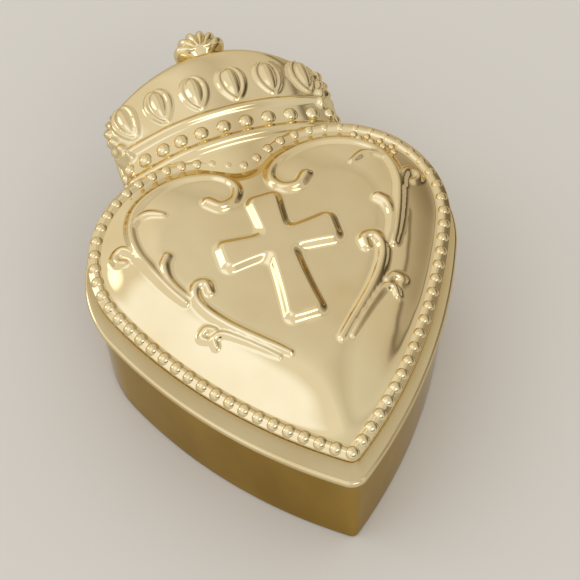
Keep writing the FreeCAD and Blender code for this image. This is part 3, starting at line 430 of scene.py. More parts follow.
# %% Scrolls as heights
SCROLLS = [
    [(-16.1, 13.9, 2.3), (-12.6, 10.9, 2.2), (-7.8, 12.2, 2.0), (-5.6, 17, 1.9), (-7.2, 22, 1.9),
     (-11.5, 25.4, 2.0), (-19.2, 27.2, 2.2), (-26.8, 26.8, 2.2), (-33.6, 24.4, 2.2), (-38.8, 20.6, 2.2),
     (-42, 15.4, 2.1), (-43.2, 9.5, 2.1), (-42.8, 3, 2.1), (-41, -3, 2.1), (-38.6, -9.1, 2.1),
     (-36.2, -14.4, 2.0), (-33.6, -19.2, 1.8)],
    [(-25.3, -18.4, 1.8), (-25.8, -15.2, 2.2), (-28.6, -15.2, 2.2), (-30, -18.4, 2.1), (-29.3, -22.4, 2.1),
     (-26.6, -27.4, 2.2), (-22.5, -32.7, 2.1), (-17.1, -38.4, 2.0), (-11.7, -43.6, 1.7), (-8, -47.1, 1.2)],
    [(-41.5, 14, 1.5), (-39, 16.3, 1.8), (-35.4, 16.6, 1.8), (-31.1, 14.3, 1.2)],
    [(-34.3, -1.7, 1.9), (-36.2, -4.6, 2.0), (-36.3, -9.5, 1.8), (-34.4, -14.6, 1.7), (-31.6, -18.9, 1.3)],
    [(-47.6, 2.2, 1.4), (-49.8, 3.6, 1.7), (-49.9, 6.4, 1.7), (-47.3, 7.4, 1.7), (-44.8, 4.8, 1.7),
     (-43.3, 0.6, 1.5)],
    [(-30.8, -34, 1.3), (-32.4, -32.2, 1.6), (-30.2, -30.4, 1.6), (-27.6, -31.6, 1.3)],
    [(-29, -37, 1.4), (-28.8, -34.2, 1.7), (-25.7, -33.9, 1.6), (-21.5, -37.2, 1.5), (-16, -42.5, 1.3),
     (-11.5, -47.3, 0.9)],
]
RIB_RISE, RIB_SPREAD, RIGHT_STRETCH = 0.85, 1.25, 0.95


def hump(far, half):
    """One in the middle of a rounded ridge, falling to zero at its half width."""
    return np.cos(np.clip(far / half, 0, 1) * math.pi / 2) ** 2


def rib_height(path, x, y):
    """Height of one rounded rib along a path of (x, y, half width)."""
    points = np.array(smooth_profile(path, len(path) * 6))
    best = np.zeros(x.shape)
    for a, b in zip(points[:-1], points[1:]):
        ex, ey = b[0] - a[0], b[1] - a[1]
        share = np.clip(((x - a[0]) * ex + (y - a[1]) * ey) / (ex * ex + ey * ey + 1e-9), 0, 1)
        far = np.hypot(x - a[0] - ex * share, y - a[1] - ey * share)
        half = a[2] + (b[2] - a[2]) * share
        best = np.maximum(best, half * RIB_RISE * hump(far, half * RIB_SPREAD))
    return best


def lid_height(x, y):
    """Dome with the cross and the scrolls on it."""
    relief = cross_height(x, y)
    mirrored = np.where(x < 0, x, -RIGHT_STRETCH * x)
    for path in SCROLLS:
        relief = np.maximum(relief, rib_height(path, mirrored, y))
    return dome(x, y) + relief


print("scroll paths", len(SCROLLS))

# %% [markdown]
# The lid's outside is one skin: a rolled lip at the seam, a hollow cove up to the ledge, a low cord
# under the beads, and the dome with its relief. The cove's rings are exact offsets of the outline.
# Inside the ledge the rings shrink towards a point, close enough for the ribs to shade smoothly.

# %% Heart lid
LIP = [(SEAM, 0.7), (SEAM + 0.35, 0.1), (SEAM + 1.2, 0), (SEAM + 2.0, 0.25), (SEAM + 2.6, 0.9),
       (SEAM + 4.8, 2.0), (SEAM + 8.2, 2.9), (SEAM + 11.6, 3.0), (LEDGE - 1.2, 2.5), (LEDGE - 0.4, 2.5),
       (LEDGE, 3.0)]
LID_MIDDLE = np.array([0.0, -12.0])
CORD_INSET, CORD_HALF, CORD_RISE = 4.9, 2.1, 0.9

rings = [at(heart_ring(inset), z) for z, inset in smooth_profile(LIP, 40)]
for inset in np.linspace(3.4, DOME_EDGE, 11):
    ring = heart_ring(inset)
    rings.append(at(ring, dome(*ring.T) + CORD_RISE * hump(abs(inset - CORD_INSET), CORD_HALF)))
rings += shrink(heart_ring(DOME_EDGE), LID_MIDDLE, np.linspace(1, 0, 92)[1:-1], lid_height)
verts, faces = loft(rings, end=[*LID_MIDDLE, at_point(lid_height, *LID_MIDDLE)])
piece("heart_lid", verts, faces, "lid", "gold_lustre", lid_gold, ("lid_shell", "lid_cross", "lid_scrolls"))

# %% [markdown]
# The border is a row of beads, each a little over half a ball. They could be an array along a curve,
# but the spacing has to close exactly, so they stand at equal steps along the ring's own length.
# They are a little smaller towards the top and the right. A few small leaves lie inside the row on
# the right lobe.

# %% Bead border
BEAD_INSET, BEAD_PITCH, BEAD_RADIUS, BEAD_SINK, BEAD_LESS = 4.8, 5.2, 2.45, 0.7, 0.22
LEAFLET_TURNS, LEAFLET_REACHES = range(61, 30, -4), (32.1, 30.3) * 4
LEAFLET_RADIUS, LEAFLET_SINK = 1.35, 0.4


def ball(x, y, z, radius, axis=(0, 0, 1), around=20, up=9):
    """Upper part of a ball, its foot below the surface that it stands on."""
    turn = np.array(Vector((0, 0, 1)).rotation_difference(Vector(axis)).to_matrix())
    centre = np.array([x, y, z])
    angle = np.arange(around) * 2 * math.pi / around
    rings = []
    for rise in np.linspace(-0.45, math.pi / 2, up, endpoint=False):
        flat = np.stack([np.cos(angle) * math.cos(rise), np.sin(angle) * math.cos(rise),
                         np.full(around, math.sin(rise))], axis=1)
        rings.append(flat @ turn.T * radius + centre)
    return loft(rings, end=turn @ np.array([0, 0, radius]) + centre)


def even_points(ring, pitch):
    """Points at an equal pitch along a closed ring."""
    closed = np.concatenate([ring, ring[:1]])
    length = np.concatenate([[0], np.cumsum(np.hypot(*np.diff(closed, axis=0).T))])
    stations = np.linspace(0, length[-1], round(length[-1] / pitch), endpoint=False)
    return np.column_stack([np.interp(stations, length, closed[:, i]) for i in (0, 1)])


beads = []
for x, y in even_points(heart_ring(BEAD_INSET), BEAD_PITCH):
    smaller = float(smooth_step((y + 20) / 50)) + float(smooth_step((x - 8) / 30))
    beads.append(ball(x, y, LEDGE - BEAD_SINK, BEAD_RADIUS - BEAD_LESS * smaller))
print("beads", len(beads))
for turn, reach in zip(LEAFLET_TURNS, LEAFLET_REACHES):
    x, y = LOBE_X + reach * math.cos(math.radians(turn)), reach * math.sin(math.radians(turn))
    beads.append(ball(x, y, at_point(dome, x, y) - LEAFLET_SINK, LEAFLET_RADIUS))
piece("bead_border", *many(beads), "lid", "gold_lustre", lid_gold, ("lid_bead_border",))

# %% [markdown]
# The crown is a pillow with tall sides, stuffed as a cap is. It could be a cube with a subdivision
# surface, but its plan has to meet the box exactly. So its height is worked out like the dome's: the
# lower of a rounded edge and a gently crowned top, with the corner between them softened.

# %% Height of the crown
CROWN_TOP, SHOULDER_FALL, SHOULDER_BEND = 61.8, 4.8, 0.0048
CROWN_EDGE, CROWN_ROUND, ROUND_RISE = 1.2, 9.0, 6.6
PILLOW_RISE, PILLOW_Y, PILLOW_SOFT, CORNER_SOFT = 1.3, 63.0, 1.2, 7.0
# The top falls away from its middle as a parabola, faster to the sides than to the front and back.
SIDE_FALL, BACK_FALL = 144.0, 480.0
CROWN_MIDDLE = np.array([0.0, 45.0])


def shoulder(x):
    """Height where the wall ends and the rounding starts, lower at the sides."""
    return CROWN_TOP - SHOULDER_FALL - SHOULDER_BEND * x * x


def crown_height(x, y):
    inside = soft_least(CROWN_HALF - np.abs(x), CROWN_ARC - np.hypot(x, y - CROWN_MID), CORNER_SOFT)
    share = np.clip((inside - CROWN_EDGE) / CROWN_ROUND, 0, 1)
    edge = shoulder(x) + ROUND_RISE * np.sqrt(1 - (1 - share) ** 2)
    pillow = CROWN_TOP + PILLOW_RISE - x * x / SIDE_FALL - (y - PILLOW_Y) ** 2 / BACK_FALL
    return soft_least(edge, pillow, PILLOW_SOFT)


print("crown height in the middle", round(at_point(crown_height, *CROWN_MIDDLE), 1))

# %% [markdown]
# Two ridges cross the crown with a row of pearls between them, and behind this band stand drop
# jewels, each in a raised rim. Small leaves crowd on both shoulders. As on the lid they are heights,
# but laid out on a flattened measure: the distance walked across the top and down the side.

# %% Relief of the crown
BAND_Y, BAND_HALF = 44.0, 5.6
# Place, half width and height of each ridge.
RIDGES = [(BAND_Y - BAND_HALF, 3.0, 1.7), (BAND_Y + BAND_HALF, 2.2, 1.3)]
JEWELS, JEWEL_Y, JEWEL_PITCH, JEWEL_SHIFT = 6, 61.0, 13.0, 1.2
JEWEL_POINT, JEWEL_ROUND, JEWEL_HALF = 9.0, 5.6, 4.4
RIM_WIDTH, RIM_RISE, DROP_RISE = 1.1, 0.9, 1.8
LEAVES = [(38.5, 52), (39.5, 56), (40, 60), (38.5, 64), (35, 67.5), (42.5, 50), (43.5, 54), (44, 58),
          (43, 62), (41, 66), (37, 48.5), (46.5, 52), (47.5, 56), (47, 60)]
LEAF_RISE, LEAF_HALF = 1.9, 3.3


def jewel(across, along):
    """A drop, pointed towards the heart and round towards the back, in a rim."""
    reach = np.where(along < 0, JEWEL_POINT, JEWEL_ROUND)
    fullness = np.where(along < 0, 0.85, 0.5)
    width = JEWEL_HALF * np.clip(1 - (np.abs(along) / reach) ** 2, 0, 1) ** fullness
    rim = RIM_RISE * hump(np.abs(width - np.abs(across) - 0.5), 1.8)
    core = np.maximum(width - RIM_WIDTH, 0.05)
    drop = DROP_RISE * np.clip(1 - (across / core) ** 2, 0, 1) * smooth_step((width - RIM_WIDTH) / 3.2)
    return np.maximum(rim, drop) * smooth_step(width / 1.5)


def crown_relief(across, y):
    height = np.zeros(across.shape)
    for ridge, half, tall in RIDGES:
        height = np.maximum(height, tall * hump(np.abs(y - ridge), half))
    for i in range(-JEWELS // 2, JEWELS // 2):
        height = np.maximum(height, jewel(across - (i + 0.5) * JEWEL_PITCH - JEWEL_SHIFT, y - JEWEL_Y))
    for u, v in LEAVES:
        height = np.maximum(height, LEAF_RISE * hump(np.hypot(np.abs(across) - u, y - v), LEAF_HALF))
    return height


print("leaves on each shoulder", len(LEAVES))

# %% [markdown]
# The crown's skin is lofted smooth first. Then each point is pushed out along the surface's own
# direction by the relief, so that the band wraps over the shoulder as modelled clay does. A displace
# modifier could do the same with a texture. The crown also leans a little to the left and its left
# side draws in towards the band, to match what is seen.

# %% Crown lid
LEAN, DRAW_IN = 2.0, 1.7


def lean(x, y, z):
    """How far a point stands to the left of the plan, none at the seam or at the shell."""
    drift = LEAN * smooth_step((z - SEAM - 3) / 5) * smooth_step((80 - y) / 14)
    return drift * (1 - DRAW_IN * smooth_step((-x - 8) / 26) * smooth_step((62 - y) / 16))


def directions(verts, faces):
    """Outward direction of the surface at each point."""
    draft = bpy.data.meshes.new("draft")
    draft.from_pydata(verts.tolist(), [], faces)
    outward = np.empty(len(verts) * 3)
    draft.vertex_normals.foreach_get("vector", outward)
    bpy.data.meshes.remove(draft)
    return outward.reshape(-1, 3)


wall_low, wall_high = SEAM + 2.8, CROWN_TOP - SHOULDER_FALL
CROWN_WALL = [(SEAM, 0.7), (SEAM + 0.35, 0.1), (SEAM + 1.2, 0), (SEAM + 2.0, 0.2), (wall_low, 0.9),
              (SEAM + 4.0, CROWN_EDGE), (CROWN_TOP - 8, CROWN_EDGE), (wall_high, CROWN_EDGE)]
rings = []
for z, inset in smooth_profile(CROWN_WALL, 34):
    ring = crown_ring(inset)
    squash = np.clip((z - wall_low) / (wall_high - wall_low), 0, 1)
    rings.append(at(ring, z + squash * (shoulder(ring[:, 0]) - wall_high)))
for inset in CROWN_EDGE + CROWN_ROUND * np.linspace(0, 1, 24)[1:] ** 1.6:
    ring = crown_ring(inset)
    rings.append(at(ring, crown_height(*ring.T)))
rings += shrink(crown_ring(CROWN_EDGE + CROWN_ROUND), CROWN_MIDDLE, np.linspace(1, 0, 70)[1:-1], crown_height)
verts, faces = loft(rings, end=[*CROWN_MIDDLE, at_point(crown_height, *CROWN_MIDDLE)])

x, y, z = verts.T
side = np.abs(x)
down_side = np.clip(shoulder(x) + 4 - z, 0, 20) * smooth_step((side - 33) / 3)
walked = np.sign(x) * (side + side ** 3 / 31000 + down_side)
fade = smooth_step((z - SEAM - 2.5) / 2) * smooth_step((75 - y) / 4) * smooth_step((y - 30) / 4)
verts = verts + directions(verts, faces) * (crown_relief(walked, y) * fade)[:, None]
verts[:, 0] -= lean(x, y, z)
piece("crown_lid", verts, faces, "lid", "gold_lustre", lid_gold, ("crown_band", "crown_jewels"))

# %% [markdown]
# The band's pearls are larger than the border's beads. Copies of one ball would all point straight
# up, so each is turned to the slope it sits on. Two more follow the band down each side.

# %% Pearls of the band
PEARL_PITCH, PEARL_RADIUS, PEARL_SINK, SIDE_PEARL = 7.6, 2.9, 1.5, 2.4

pearls = []
for i in range(-4, 5):
    x = i * PEARL_PITCH
    z = at_point(crown_height, x, BAND_Y)
    slope = (at_point(crown_height, x + 0.05, BAND_Y) - z) / 0.05
    pearls.append(ball(x - lean(x, BAND_Y, z), BAND_Y, z - PEARL_SINK, PEARL_RADIUS, (-slope, 0.05, 1)))
for side in (-1, 1):
    for drop in (10.0, 14.6):
        x, z = side * (CROWN_HALF - 2.2), CROWN_TOP - drop
        pearls.append(ball(x - lean(x, BAND_Y, z), BAND_Y, z, SIDE_PEARL, (side, 0, 0.3)))
print("pearls", len(pearls))
piece("band_pearls", *many(pearls), "lid", "gold_lustre", lid_gold)

# %% [markdown]
# A fluted shell closes the crown at the back and gives the fingers a hold. Each flute is a rounded
# rib that fans out from a root inside the crown. Six ribs could be six copies, but they grow into
# each other, so one fan is lofted from rings whose reach swells and sinks from flute to flute.

# %% Shell finial
FLUTES, SHELL_Y, SHELL_Z, SHELL_REACH, SHELL_HALF = 6, 77.2, 57.2, 10.4, 5.2
ROOT_X, ROOT_Y, ROOT_HALF = 1.5, 75.0, 3.0

spread = np.linspace(0.06, 0.94, 121) * math.pi
scallop = np.abs(np.sin(np.linspace(0, FLUTES, 121) * math.pi)) ** 0.7
rings = []
for turn in np.linspace(-math.pi / 2, math.pi / 2, 25):
    reach = SHELL_REACH * (0.30 + 0.70 * math.cos(turn) ** 0.55) * (0.84 + 0.16 * scallop)
    rise = SHELL_HALF * math.sin(turn) * (0.78 + 0.22 * scallop)
    outer = np.column_stack([reach * np.cos(spread) * 0.92, SHELL_Y + reach * np.sin(spread), SHELL_Z + rise])
    root_z = SHELL_Z + ROOT_HALF * math.sin(turn)
    rings.append(np.concatenate([outer, [[-ROOT_X, ROOT_Y, root_z], [ROOT_X, ROOT_Y, root_z]]]))
verts, faces = loft(rings, start=rings[0].mean(axis=0), end=rings[-1].mean(axis=0))
piece("shell_finial", verts, faces, "lid", "gold_lustre", lid_gold, ("crown_finial",))

# %% [markdown]
# Under the lid a spigot drops into the box and keeps the lid in place, and the dome is hollow. A
# solidify modifier would copy the relief to the inside, where slip casting leaves it smooth. So the
# underside has its own skin, from the middle of the hollow down the spigot and out to the lip.

# %% Underside of the lid
BOX_MIDDLE = np.array([0.0, 10.0])
HOLLOW_Z, HOLLOW_RISE, SPIGOT_INSET = 53.8, 7.4, 10.2
SPIGOT = [(52.6, SPIGOT_INSET), (46.0, SPIGOT_INSET), (41.2, SPIGOT_INSET), (40.7, 9.8), (40.6, 9.2),
          (40.65, 8.2), (41.2, 7.8), (43.6, 7.8), (SEAM, 7.4), (SEAM, 4.0), (SEAM, 0.7)]


def hollow(x, y):
    return HOLLOW_Z + HOLLOW_RISE * smooth_step((heart_depth(x, y) - 10) / 17) * smooth_step((44 - y) / 30)


rings = shrink(outline_ring(SPIGOT_INSET), BOX_MIDDLE, np.linspace(0.05, 0.97, 22), hollow)
rings += [at(outline_ring(inset), z) for z, inset in smooth_profile(SPIGOT, 44)]
verts, faces = loft(rings, start=[*BOX_MIDDLE, at_point(hollow, *BOX_MIDDLE)])
piece("lid_underside", verts, faces, "lid", "gold_lustre", lid_gold)

# %% [markdown]
# The box is a drafted wall with a rounded foot, a rim that carries the lid, a raised floor for the
# movement and a recess below for the key. It could be cut from a block with booleans. One section,
# swept round the outline, gives the same shape with clean rounded edges.

# %% Box
BOX_SECTION = [
    (13.2, 7.2), (11.0, 7.2), (2.0, 7.2), (0.6, 6.9), (0.1, 6.2), (0.1, 4.8), (0.6, 3.8), (1.7, 3.45),
    (12.0, 3.2), (28.0, 2.85), (42.6, 2.55), (44.0, 2.7), (44.5, 3.4), (44.5, 6.2), (44.1, 7.0),
    (43.0, 7.2), (34.0, 7.2), (20.6, 7.2), (18.8, 7.7), (18.05, 9.0),
]
RECESS_ROOF, RAISED_FLOOR = 14.0, 18.0


def level_at(z):
    return lambda x, y: np.full(x.shape, z)


rings = shrink(outline_ring(8.4), BOX_MIDDLE, np.linspace(0.1, 1, 8), level_at(RECESS_ROOF))
rings += [at(outline_ring(inset), z) for z, inset in smooth_profile(BOX_SECTION, 90)]
rings += shrink(outline_ring(9.6), BOX_MIDDLE, np.linspace(1, 0.1, 8), level_at(RAISED_FLOOR))
verts, faces = loft(rings, start=[*BOX_MIDDLE, RECESS_ROOF], end=[*BOX_MIDDLE, RAISED_FLOOR])
# The box's wall takes the lustre painted darker, as painted shade for the dark surroundings it mirrors.
piece("heart_box", verts, faces, "case", "gold_lustre", shaded_wall_gold, ("base_shell",))

# %% [markdown]
# The movement is made of stamped, cast and turned metals. What tells them apart is colour, gloss and
# the grain that each process leaves, so one function takes these three. Painted textures would do
# too, but noise stretched along the way of rolling or turning needs no unwrapping. The real grain is
# finer than a tenth of a millimetre; it is drawn coarser here so that it shows.

# %% Movement metals
def metal(name, light, dark, rough, grain, stretch):
    """Metal with a grain of this size in millimetres, closer along the axes with a larger stretch."""
    material, tree, shader, place = finish(name)
    along = add(tree, "ShaderNodeMapping", {"Vector": place, "Scale": stretch})
    noise = add(tree, "ShaderNodeTexNoise",
                {"Vector": along.outputs["Vector"], "Scale": per_mm(grain), "Detail": 5.0})
    tint = add(tree, "ShaderNodeValToRGB", {"Fac": noise.outputs["Fac"]}, [(0.3, dark), (0.7, light)])
    gloss = add(tree, "ShaderNodeMapRange",
                {"Value": noise.outputs["Fac"], "To Min": rough * 0.7, "To Max": rough * 1.4})
    bump = add(tree, "ShaderNodeBump", {"Height": noise.outputs["Fac"], "Strength": 0.15, "Distance": 0.0001})
    plug(tree, shader, {
        "Metallic": 1.0, "Base Color": tint.outputs["Color"],
        "Roughness": gloss.outputs["Result"], "Normal": bump.outputs["Normal"],
    })
    return material


# Rolled brass is warm yellow, with long, soft lines from the rolls.
brass = metal("rolled_brass", "#E0BC6A", "#C79C48", 0.22, 1.2, (1, 1, 6))
# Die-cast zinc is a dull, even grey with a fine, sandy grain.
zinc = metal("zinc_casting", "#B9B8B4", "#9C9B98", 0.42, 0.8, (1, 1, 1))
# Nickel plate over steel is warmer than steel and shows the rolling lines below it.
nickel = metal("nickel_plate", "#CFCBC2", "#BAB6AD", 0.20, 1.0, (6, 1, 1))
# Bright drawn steel is cold and shiny, with close lines left by the die.
steel = metal("bright_steel", "#D2D2D0", "#B4B5B6", 0.16, 0.7, (1, 5, 5))
# Zinc-plated screws have a bluish cast and a slightly milky shine.
screw = metal("zinc_plated_screw", "#C9CCD0", "#A4A8AE", 0.26, 0.5, (1, 1, 1))
# Hardened spring steel keeps the dark blue of its tempering.
spring = metal("blued_spring_steel", "#56607A", "#3E4458", 0.25, 0.8, (1, 1, 6))
# Drawn pin wire is bright and nearly white.
pin_steel = metal("pin_wire", "#DADADA", "#BEBEC0", 0.18, 0.3, (1, 1, 1))
print("metals", *(m.name for m in (brass, zinc, nickel, steel, screw, spring, pin_steel)))

# %% [markdown]
# Two plastics are left: the moulded nylon of the face wheel, the pinions, the bush and the fan, and
# the clear acrylic cover. The cover could be plain glass to the renderer. A little haze where it was
# wiped tells it from glass, and a small share of plain colour keeps its edges from going black.

# %% Plastics
# Moulded nylon is waxy and off-white, with faint clouds from the flow in the mould.
nylon, tree, shader, place = finish("moulded_nylon")
mottle = add(tree, "ShaderNodeTexNoise", {"Vector": place, "Scale": per_mm(2), "Detail": 3.0})
tint = add(tree, "ShaderNodeValToRGB", {"Fac": mottle.outputs["Fac"]}, [(0.0, "#E6E2D6"), (1.0, "#F2EFE6")])
plug(tree, shader, {"Base Color": tint.outputs["Color"], "Roughness": 0.45, "IOR": 1.53})

# Clear acrylic is glossy and nearly colourless, with a slight haze where it was wiped.
acrylic, tree, shader, place = finish("clear_acrylic")
wipe = add(tree, "ShaderNodeTexNoise", {"Vector": place, "Scale": per_mm(9), "Detail": 3.0})
haze = add(tree, "ShaderNodeMapRange", {"Value": wipe.outputs["Fac"], "To Min": 0.01, "To Max": 0.06})
plug(tree, shader, {
    "Base Color": linear("#F6FAFA"), "Roughness": haze.outputs["Result"],
    "Transmission Weight": 0.95, "IOR": 1.49,
})
print("plastics", nylon.name, acrylic.name)

# %% [markdown]
# The movement keeps its CAD shapes, which are exact where gears have to mesh. Real stamped parts are
# tumbled, so no edge is sharp. Rounding each edge by hand isn't needed: a bevel modifier does it for
# every part, and the narrow round catches the light. Parts with very many faces are left as they are.

# %% Finishes on the movement
FINISHES = {
    "zinc_casting": zinc, "nickel_steel": nickel, "bright_steel": steel, "screw_steel": screw,
    "spring_steel": spring, "brass": brass, "pin_steel": pin_steel, "nylon": nylon,
    # The remaining gold nodes take the lustre painted darker, as painted shade.
    "clear_acrylic": acrylic, "gold_lustre": shaded_wall_gold,
}
TUMBLED, TOO_MANY_FACES = 0.12 * MM, 4000

tumbled = 0
for part in frame["record"]["subparts"]:
    obj = frame["nodes"][part["node"]]
    if obj.hide_render:
        continue
    for holder in obj.material_slots:
        holder.material = FINISHES[part["material_slot"]]
    if len(obj.data.polygons) < TOO_MANY_FACES:
        weld = obj.modifiers.new("weld", "WELD")
        weld.merge_threshold = 0.01 * MM
        bevel = obj.modifiers.new("tumbled", "BEVEL")
        bevel.width, bevel.segments = TUMBLED, 2
        bevel.limit_method, bevel.angle_limit = "ANGLE", math.radians(40)
        bevel.harden_normals = True
        tumbled += 1
print("tumbled edges on", tumbled, "nodes")

# %% [markdown]
# The screws are pan heads with a slot for a watchmaker's driver. A boolean could cut the slot, but a
# turned shape with close rings is lighter: points that lie in the slot are pressed down to its floor.

# %% Turned screw
SHANK, HEAD, HEAD_TALL, SLOT_HALF, SLOT_FLOOR = 1.2, 2.1, 1.2, 0.36, 0.45


def turned_screw(x, y, seat, tip, side, turn):
    """Screw from its tip to a domed head that faces up or down, its slot turned by an angle."""
    angle = np.arange(48) * 2 * math.pi / 48
    profile = [(0.7, tip), (SHANK, tip + 0.5 * side), (SHANK, seat), (2.05, seat), (HEAD, seat + 0.1 * side),
               (HEAD, seat + 0.6 * side), (1.98, seat + 0.85 * side)]
    profile += [(r, seat + side * (HEAD_TALL - 0.06 * r * r)) for r in np.linspace(1.75, 0.06, 16)]
    slot_z = seat + SLOT_FLOOR * side
    rings = []
    for r, z in profile:
        pressed = (np.abs(r * np.sin(angle - turn)) < SLOT_HALF) & (abs(z - seat) > 0.5)
        height = np.where(pressed, slot_z, z)
        rings.append(np.column_stack([x + r * np.cos(angle), y + r * np.sin(angle), height]))
    ends = [x, y, tip], [x, y, slot_z]
    if side > 0:
        return loft(rings, start=ends[0], end=ends[1])
    return loft(rings[::-1], start=ends[1], end=ends[0])


print("screw head", 2 * HEAD, "mm across")

# %% [markdown]
# Each screw has to sit where the CAD has it. The places could be typed in again, but reading them
# from the CAD shapes keeps the two from drifting apart: points near each other belong to one screw.

# %% Screws in their places
SCREW_APART = 5


def screw_places(node):
    """Middle and height range in millimetres of each screw in a CAD node."""
    obj = frame["nodes"][node]
    points = np.array([obj.matrix_world @ v.co for v in obj.data.vertices]) / MM
    places = []
    while len(points):
        near = np.hypot(*(points[:, :2] - points[0, :2]).T) < SCREW_APART
        low, high = points[near].min(axis=0), points[near].max(axis=0)
        places.append((*((low + high) / 2)[:2], low[2], high[2]))
        points = points[~near]
    return places


for node, side in (("comb_screws", 1), ("frame_screws", 1), ("mounting_screws", -1)):
    screws = []
    for i, (x, y, low, high) in enumerate(screw_places(node)):
        ends = (high - HEAD_TALL, low) if side > 0 else (low + HEAD_TALL, high)
        screws.append(turned_screw(x, y, *ends, side, 0.4 + 1.1 * i))
    piece("slotted_" + node, *many(screws), "case", "screw_steel", screw, (node,))

# %% [markdown]
# The box stands on a plain painted floor, large enough to run past the frame from any side. A studio
# would curve it up behind the object. A flat one is enough here, since the world behind it is pale.

# %% Floor
FLOOR_HALF = 4

# Matt emulsion paint is even, with only a slow drift of tone from the roller.
floor_paint, tree, shader, place = finish("pale_matt_floor")
drift = add(tree, "ShaderNodeTexNoise", {"Vector": place, "Scale": per_mm(300), "Detail": 3.0})
tone = add(tree, "ShaderNodeValToRGB", {"Fac": drift.outputs["Fac"]}, [(0.0, "#D6D2CB"), (1.0, "#DEDAD4")])
plug(tree, shader, {"Base Color": tone.outputs["Color"], "Roughness": 0.6})
mesh = bpy.data.meshes.new("floor")
mesh.from_pydata([(x * FLOOR_HALF, y * FLOOR_HALF, 0) for x, y in ((-1, -1), (1, -1), (1, 1), (-1, 1))],
                 [], [(0, 1, 2, 3)])
mesh.materials.append(floor_paint)
floor = bpy.data.objects.new("floor", mesh)
bpy.context.scene.collection.objects.link(floor)
print("floor", 2 * FLOOR_HALF, "m wide")

# %% [markdown]
# A mirror shows its surroundings, so the lamps are seen on the lid as well as lighting it. A plain
# area lamp would leave a hard white rectangle there. These fade to their rims like a diffuser cloth,
# and they are weak, because their images add to the pale surroundings behind them.

# %% Soft lamps
AIM = Vector((0, 0, 0.04))


def softbox(name, place, width, height, power, colour):
    """Area lamp aimed at the box, bright in the middle and fading to its rim."""
    lamp = bpy.data.lights.new(name, "AREA")
    lamp.shape = "RECTANGLE"
    lamp.size, lamp.size_y = width, height
    lamp.energy = power
    lamp.color = linear(colour)[:3]
    lamp.use_nodes = True
    tree = lamp.node_tree
    spot = add(tree, "ShaderNodeNewGeometry").outputs["Parametric"]
    off = add(tree, "ShaderNodeVectorMath", {0: spot, 1: (0.5, 0.5, 0.0)}, operation="SUBTRACT")
    far = add(tree, "ShaderNodeVectorMath", {0: off.outputs["Vector"]}, operation="LENGTH")
    fade = add(tree, "ShaderNodeMapRange", {
        "Value": far.outputs["Value"], "From Min": 0.30, "From Max": 0.55, "To Min": 1.0, "To Max": 0.0,
    }, interpolation_type="SMOOTHSTEP")
    plug(tree, tree.nodes["Emission"], {"Strength": fade.outputs["Result"]})
    obj = bpy.data.objects.new(name, lamp)
    obj.location = place
    obj.rotation_euler = (AIM - Vector(place)).to_track_quat("-Z", "Y").to_euler()
    bpy.context.scene.collection.objects.link(obj)
    print(name, power, "W")


softbox("window_left", (-0.62, -0.05, 0.95), 1.1, 1.1, 2.2, "#C0D4FF")
softbox("window_front", (0.15, -0.75, 0.85), 0.7, 0.35, 1.4, "#FFFFFF")
softbox("door_left", (-0.95, 0.6, 0.45), 0.4, 0.7, 1.3, "#FFFAF2")

# %% [markdown]
# The surroundings that the lustre mirrors are pale on the left and darker on the right, with one
# narrow dark line, so that the lid's slopes differ in tone. A photographed room would do this, but
# a ramp over the direction of the ray is simple to adjust. A dark strip low in front draws the thin
# dark lines on beads and edges that make metal look polished.

# %% What the lustre mirrors
RIGHT, FRONT = (0.97, 0.15, -0.2), (0.05, -0.94, 0.34)
LEFT_TO_RIGHT = [
    (0.42, "#FAF6EF"), (0.97, "#5E5548"), (0.57, "#DAD4C9"), (0.66, "#E8E3DA"), (0.77, "#E2DCD2"),
    (0.80, "#DAD3C8"), (0.815, "#857B6C"), (0.83, "#C8C0B3"), (0.90, "#A69C8D"),
]
STRIP = [(0.24, "#000000"), (0.45, "#000000"), (0.29, "#FFFFFF"), (0.40, "#FFFFFF")]

world = bpy.data.worlds.new("studio")
bpy.context.scene.world = world
world.use_nodes = True
tree = world.node_tree
tree.nodes.clear()
ray = add(tree, "ShaderNodeTexCoord").outputs["Generated"]
to_right = add(tree, "ShaderNodeVectorMath", {0: ray, 1: RIGHT}, operation="DOT_PRODUCT")
share = add(tree, "ShaderNodeMapRange",
            {"Value": to_right.outputs["Value"], "From Min": -1.0, "From Max": 1.0})
walls = add(tree, "ShaderNodeValToRGB", {"Fac": share.outputs["Result"]}, LEFT_TO_RIGHT)
to_front = add(tree, "ShaderNodeVectorMath", {0: ray, 1: FRONT}, operation="DOT_PRODUCT")
ahead = add(tree, "ShaderNodeMapRange",
            {"Value": to_front.outputs["Value"], "From Min": 0.84, "From Max": 0.92})
height = add(tree, "ShaderNodeSeparateXYZ", {"Vector": ray})
strip = add(tree, "ShaderNodeValToRGB", {"Fac": height.outputs["Z"]}, STRIP)
card = add(tree, "ShaderNodeMath",
           {0: strip.outputs["Color"], 1: ahead.outputs["Result"]}, operation="MULTIPLY")
room = add(tree, "ShaderNodeMix", {
    "Factor": card.outputs["Value"], "A": walls.outputs["Color"], "B": linear("#3A342B"),
}, data_type="RGBA")
print("tones from left to right", len(LEFT_TO_RIGHT))

# %% [markdown]
# To the camera the background is one pale tone, and reflections and clear plastic see the room
# above. All other rays, which shade the floor and the plastics, get a plain, slightly warm white.
# Light Path tells these rays apart, so that a pale background needs no more light on the object.

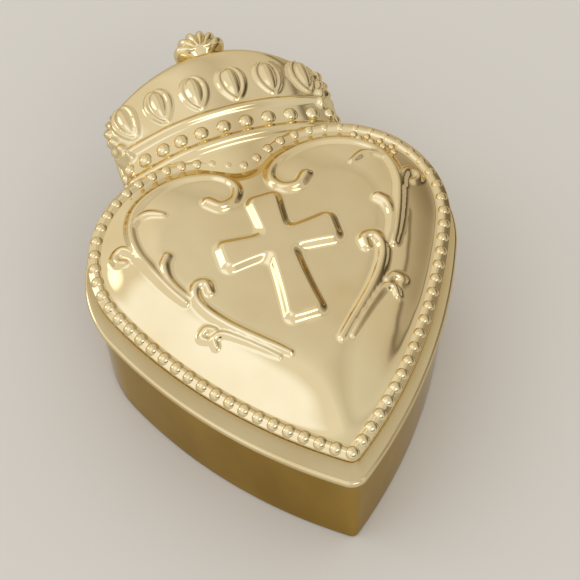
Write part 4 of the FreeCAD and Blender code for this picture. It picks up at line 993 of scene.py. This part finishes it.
# %% Pale background
path = add(tree, "ShaderNodeLightPath")
pale = add(tree, "ShaderNodeMix", {
    "Factor": path.outputs["Is Camera Ray"], "A": room.outputs["Result"], "B": linear("#EFEBE4"),
}, data_type="RGBA")
seen = path.outputs["Is Camera Ray"]
for other in ("Is Glossy Ray", "Is Transmission Ray"):
    either = add(tree, "ShaderNodeMath", {0: seen, 1: path.outputs[other]}, operation="MAXIMUM")
    seen = either.outputs["Value"]
soft = add(tree, "ShaderNodeBackground", {"Color": linear("#F4F1EA"), "Strength": 0.93})
shown = add(tree, "ShaderNodeBackground", {"Color": pale.outputs["Result"], "Strength": 1.0})
both = add(tree, "ShaderNodeMixShader",
           {0: seen, 1: soft.outputs["Background"], 2: shown.outputs["Background"]})
add(tree, "ShaderNodeOutputWorld", {"Surface": both.outputs["Shader"]})
print("world nodes", len(tree.nodes))

# %% [markdown]
# The camera stands in front and a little to the left, looking steeply down, with a long lens. It
# could be aimed with a constraint. Its angle, distance and roll are written out instead, because
# they were found from points of the outline whose places on the object are known.

# %% Camera
FRAME_PIXELS, SENSOR = 580, 36.0
AZIMUTH, ELEVATION, ROLL = math.radians(-14.789), math.radians(59.085), math.radians(-3.637)
FOCAL_PIXELS, DISTANCE = 2000.0, 0.69446
RIGHT_PIXELS, UP_PIXELS = 13.08, 36.83

back = Vector((math.sin(AZIMUTH) * math.cos(ELEVATION), -math.cos(AZIMUTH) * math.cos(ELEVATION),
               math.sin(ELEVATION)))
level = Vector((math.cos(AZIMUTH), math.sin(AZIMUTH), 0))
upright = back.cross(level)
right = math.cos(ROLL) * level + math.sin(ROLL) * upright
up = -math.sin(ROLL) * level + math.cos(ROLL) * upright
pixel = DISTANCE / FOCAL_PIXELS
stand = back * DISTANCE + right * (RIGHT_PIXELS * pixel) + up * (UP_PIXELS * pixel)
lens = bpy.data.cameras.new("camera")
lens.sensor_width = SENSOR
lens.lens = SENSOR * FOCAL_PIXELS / FRAME_PIXELS
camera = bpy.data.objects.new("camera", lens)
camera.matrix_world = Matrix((
    (right.x, up.x, back.x, stand.x),
    (right.y, up.y, back.y, stand.y),
    (right.z, up.z, back.z, stand.z),
    (0, 0, 0, 1),
))
bpy.context.scene.collection.objects.link(camera)
bpy.context.scene.camera = camera
bpy.context.scene.view_settings.view_transform = "Standard"
print("lens", round(lens.lens, 1), "mm, camera height", round(stand.z, 3), "m")
